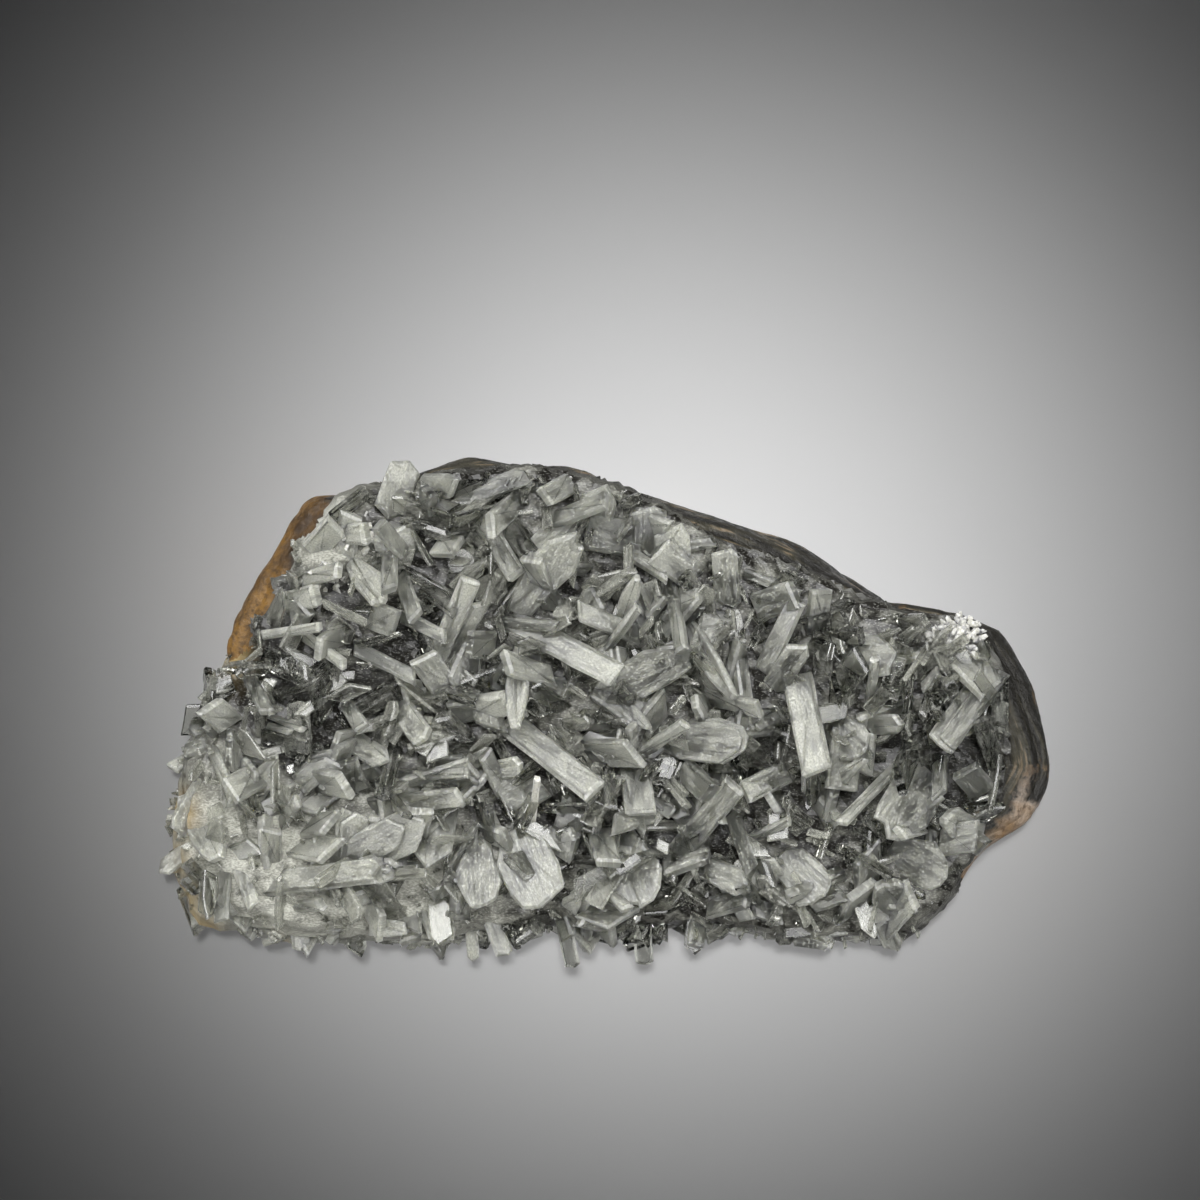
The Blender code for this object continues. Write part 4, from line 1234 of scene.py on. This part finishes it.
rockStyle = {
    "spacing": 1.1,
    "foot": 0.4,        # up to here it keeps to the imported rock
    "lumps": 0.35,      # depth of the lumps, worn inwards
    "lumpScale": 0.22,
    "ridges": 0.3,      # and of the ledges that follow the edge
    "ridgeScale": 3.1,
    "ridgeSway": 2.4,
    "rind": 1.3,        # how far the rusty rind stands out
    "shoulder": 1.2,    # and the east shoulder
    "smoothing": 9,
    "rounding": 0.25,   # made up for what smoothing wears off
    "wall": 13,         # height over which the colours of the rind thin out
}
rockLooks = {
    "dark": (0.010, 0.009, 0.007), "olive": (0.06, 0.055, 0.036), "fringe": (0.19, 0.14, 0.09),
    "rust": (0.16, 0.085, 0.020), "burnt": (0.035, 0.020, 0.009), "beige": (0.30, 0.245, 0.195),
    "honey": (0.19, 0.12, 0.06), "brown": (0.07, 0.045, 0.028),
}
# patches of rind on the rock: x, y, radius
rustPatches = [
    (-45.8, 8.5, 3), (-44.8, 11, 4), (-43.6, 14, 4.5), (-42, 17, 4.5), (-40, 20, 4.5), (-38, 22.8, 4.2),
    (-36, 25, 3.2),
]
beigePatches = [(53, -15, 5.5), (49, -20, 4.5), (44, -25, 4.5), (40, -30, 4)]
shoulderPatches = [(54, -7, 6), (50, -15, 5)]


def fromEdge(place):
    return reach(rockPlan, math.atan2(place.y, place.x)) - math.hypot(place.x, place.y)


def growRock():
    style = rockStyle
    mesh = rockCopy(style["spacing"])
    loose = [vert for vert in mesh.verts if vert.co.z > style["foot"] * mm]
    for time in range(style["smoothing"]):
        bmesh.ops.smooth_vert(
            mesh, verts=loose, factor=0.5, use_axis_x=True, use_axis_y=True, use_axis_z=True,
        )
    mesh.normal_update()
    places = [vert.co / mm for vert in mesh.verts]
    for vert, place in zip(mesh.verts, places):
        depth = 0.5 + 0.5 * noise.fractal(place * style["lumpScale"], 0.8, 2.1, 4)
        sway = style["ridgeSway"] * noise.noise(place * 0.15)
        ledge = 0.5 + 0.5 * math.sin(fromEdge(place) * style["ridgeScale"] + sway)
        if place.z > style["foot"]:
            bulge = max(
                style["rind"] * patchAt(rustPatches, place.x, place.y),
                style["shoulder"] * patchAt(shoulderPatches, place.x, place.y),
            )
            out = Vector((place.x, place.y, 0)).normalized()
            vert.co += out * mm * min(1, place.z / 5) * (bulge + style["rounding"])
            worn = style["lumps"] * (depth - 0.35) + style["ridges"] * (ledge - 0.3) * min(1, place.z / 4)
            vert.co -= vert.normal * mm * worn
    made = meshWith(mesh, "wall_rock", {"rust": "FLOAT", "beige": "FLOAT", "ledge": "FLOAT_VECTOR"})
    for name, patches in (("rust", rustPatches), ("beige", beigePatches)):
        layer = made.attributes[name]
        for index, place in enumerate(places):
            # it thins out down the wall
            depth = 0.5 + 0.5 * min(1, place.z / style["wall"])
            blotch = 0.3 * noise.fractal(place * 0.2, 1.0, 2.0, 3) + (1.2 - depth) * noise.noise(place * 0.11)
            layer.data[index].value = patchAt(patches, place.x, place.y) * depth + blotch
    layer = made.attributes["ledge"]
    for index, place in enumerate(places):
        layer.data[index].vector = (fromEdge(place), math.atan2(place.y, place.x) * 40, place.z)
    return made


def rockMaterial():
    material, tree, shader, output = newMaterial("banded wall rock")
    place = tree.nodes.new("ShaderNodeTexCoord").outputs["Object"]
    look = rockLooks
    patches = noiseNode(tree, place, 150.0, 4.0)
    fine = noiseNode(tree, place, 1100.0, 4.0, 0.62)
    bands = noiseNode(tree, scaled(tree, attribute(tree, "ledge", "Vector"), (1.3, 0.10, 0.5)), 1.0, 3.0)
    colour = mixColour(tree, mapRange(tree, bands, 0.48, 0.66, 0.0, 0.8), look["dark"], look["olive"])
    lines = times(tree, mapRange(tree, bands, 0.56, 0.66), patches)
    colour = mixColour(tree, mapRange(tree, lines, 0.25, 0.6, 0.0, 0.9), colour, look["fringe"])
    rusty = mixColour(tree, mapRange(tree, patches, 0.36, 0.56), look["burnt"], look["rust"])
    rusty = mixColour(tree, mapRange(tree, fine, 0.45, 0.66, 0.0, 0.8), rusty, look["burnt"])
    paler = mixColour(tree, mapRange(tree, patches, 0.4, 0.62), look["beige"], look["honey"])
    paler = mixColour(tree, mapRange(tree, fine, 0.52, 0.66, 0.0, 0.8), paler, look["brown"])
    wobble = mapRange(tree, fine, 0.3, 0.7, -0.12, 0.12)
    wobble = plus(tree, wobble, mapRange(tree, patches, 0.3, 0.7, -0.3, 0.3))
    rust = mapRange(tree, plus(tree, attribute(tree, "rust", "Fac"), wobble), 0.25, 0.5)
    beige = mapRange(tree, plus(tree, attribute(tree, "beige", "Fac"), wobble), 0.3, 0.55)
    colour = mixColour(tree, beige, mixColour(tree, rust, colour, rusty), paler)
    tree.links.new(colour, shader.inputs["Base Color"])
    tree.links.new(mapRange(tree, fine, 0.35, 0.65, 0.3, 0.75), shader.inputs["Roughness"])
    relief = plus(tree, fine, times(tree, bands, 0.8))
    tree.links.new(bumpNode(tree, relief, 0.7, 0.0005), shader.inputs["Normal"])
    shader.inputs["Specular IOR Level"].default_value = 0.35
    return material


wallRock = growRock()
wallRock.materials.append(rockMaterial())
wallRockObject = ready(bpy.data.objects.new("wall_rock", wallRock))
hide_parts("matrix_rock")
print("rock made")

large = newStore()
lines = growLargeBlades(large)
growHangingTips(large)
growFilling(large, lines)
growSkirt(large)
largeTree = BVHTree.FromPolygons(large["points"], large["faces"])
crystals = [meshFrom(large, "large_blades", [clearBarite, cloudyBarite, sugaryBarite])]

for number, style in enumerate(thickets):
    small = newStore()
    growThicket(small, style, 10 + number, largeTree)
    looks = [clearBarite, cloudyBarite if number == 0 else hazyBarite, sugaryBarite]
    crystals.append(meshFrom(small, style["name"], looks))

tiny = newStore()
growDruse(tiny)
growSugar(tiny)
crystals.append(meshFrom(tiny, "druse", [hazyBarite, hazyBarite, sugaryBarite]))

crustMesh = growCrust()
crustMesh.materials.append(crustBarite)
crystals.append(ready(bpy.data.objects.new("crystal_crust", crustMesh)))
for piece in crystals:
    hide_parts("barite_crystals")
print("crystals grown")


def floorMaterial():
    material, tree, shader, output = newMaterial("pale floor")
    place = tree.nodes.new("ShaderNodeTexCoord").outputs["Object"]
    mottle = noiseNode(tree, place, 30.0, 3.0)
    tree.links.new(mixColour(tree, mottle, (0.79, 0.79, 0.79), (0.8, 0.8, 0.8)), shader.inputs["Base Color"])
    shader.inputs["Roughness"].default_value = 0.9
    return material


floorHalf = 3.0
floorCorners = [(floorHalf * x, floorHalf * y, 0) for x, y in ((-1, -1), (1, -1), (1, 1), (-1, 1))]
floorMesh = bpy.data.meshes.new("floor")
floorMesh.from_pydata(floorCorners, [], [(0, 1, 2, 3)])
floorMesh.materials.append(floorMaterial())
floor = bpy.data.objects.new("floor", floorMesh)
scene.collection.objects.link(floor)


def addLamp(data, position, target, floorState):
    # floorState is whether the floor takes its light: INCLUDE lights nothing else
    lamp = bpy.data.objects.new(data.name, data)
    lamp.location = position
    lamp.rotation_euler = (Vector(target) - Vector(position)).to_track_quat("-Z", "Y").to_euler()
    scene.collection.objects.link(lamp)
    receivers = bpy.data.collections.new(lamp.name + " receivers")
    receivers.objects.link(floor)
    lamp.light_linking.receiver_collection = receivers
    receivers.collection_objects[0].light_linking.link_state = floorState
    return lamp


studio = {      # position, size, power
    "key": ((-0.20, 0.50, 0.60), 0.70, 8.5),
    "fill": ((0.50, -0.25, 0.50), 0.6, 3.7),
    "west": ((-0.50, -0.25, 0.35), 0.5, 2.7),
    "overhead": ((0.20, 0.30, 0.85), 0.5, 3.9),
    "spark north": ((0.10, 0.45, 0.80), 0.03, 0.13),
    "spark east": ((0.45, 0.05, 0.60), 0.03, 0.14),
    "spark west": ((-0.35, -0.10, 0.70), 0.03, 0.12),
}
middle = (cadLow + cadHigh) / 2
for name, (position, size, power) in studio.items():
    data = bpy.data.lights.new(name, "AREA")
    data.shape = "DISK"
    data.size = size
    data.energy = power
    addLamp(data, position, middle, "EXCLUDE")

# light on the floor around the rock: radius there, power, whether the rock casts a shadow in it
pools = [(0.050, 26.0, False), (0.090, 20.0, True), (0.125, 5.5, False), (0.5, 0.2, False)]
poolPlace = (0.0, 0.12, 1.0)
poolTarget = (0.009, 0.0115, 0.0)
for number, (radius, power, shadowed) in enumerate(pools):
    data = bpy.data.lights.new(f"pool {number}", "SPOT")
    data.spot_size = 2 * math.atan(radius / poolPlace[2])
    data.spot_blend = 1.0
    data.shadow_soft_size = 0.05
    data.energy = power
    pool = addLamp(data, poolPlace, poolTarget, "INCLUDE")
    if not shadowed:
        blockers = bpy.data.collections.new(pool.name + " blockers")
        blockers.objects.link(floor)
        pool.light_linking.blocker_collection = blockers

world = bpy.data.worlds.new("studio")
scene.world = world
world.use_nodes = True
background = world.node_tree.nodes["Background"]
background.inputs["Color"].default_value = (0.9, 0.95, 1.0, 1.0)
background.inputs["Strength"].default_value = 0.01
print("studio lit")

camera = bpy.data.cameras.new("camera")
camera.lens = 150.0
camera.sensor_width = 36.0
cameraView = 0.150      # width of what it sees at the crystals
cameraFocus = 0.018     # height at which that is so
cameraObject = bpy.data.objects.new("camera", camera)
distance = cameraView * camera.lens / camera.sensor_width
cameraObject.location = (-0.0001, 0.0139, cameraFocus + distance)
scene.collection.objects.link(cameraObject)
scene.camera = cameraObject

scene.view_settings.view_transform = "Standard"
scene.cycles.max_bounces = 8
scene.cycles.transmission_bounces = 8
scene.cycles.diffuse_bounces = 2
scene.cycles.glossy_bounces = 4
scene.cycles.adaptive_threshold = 0.08
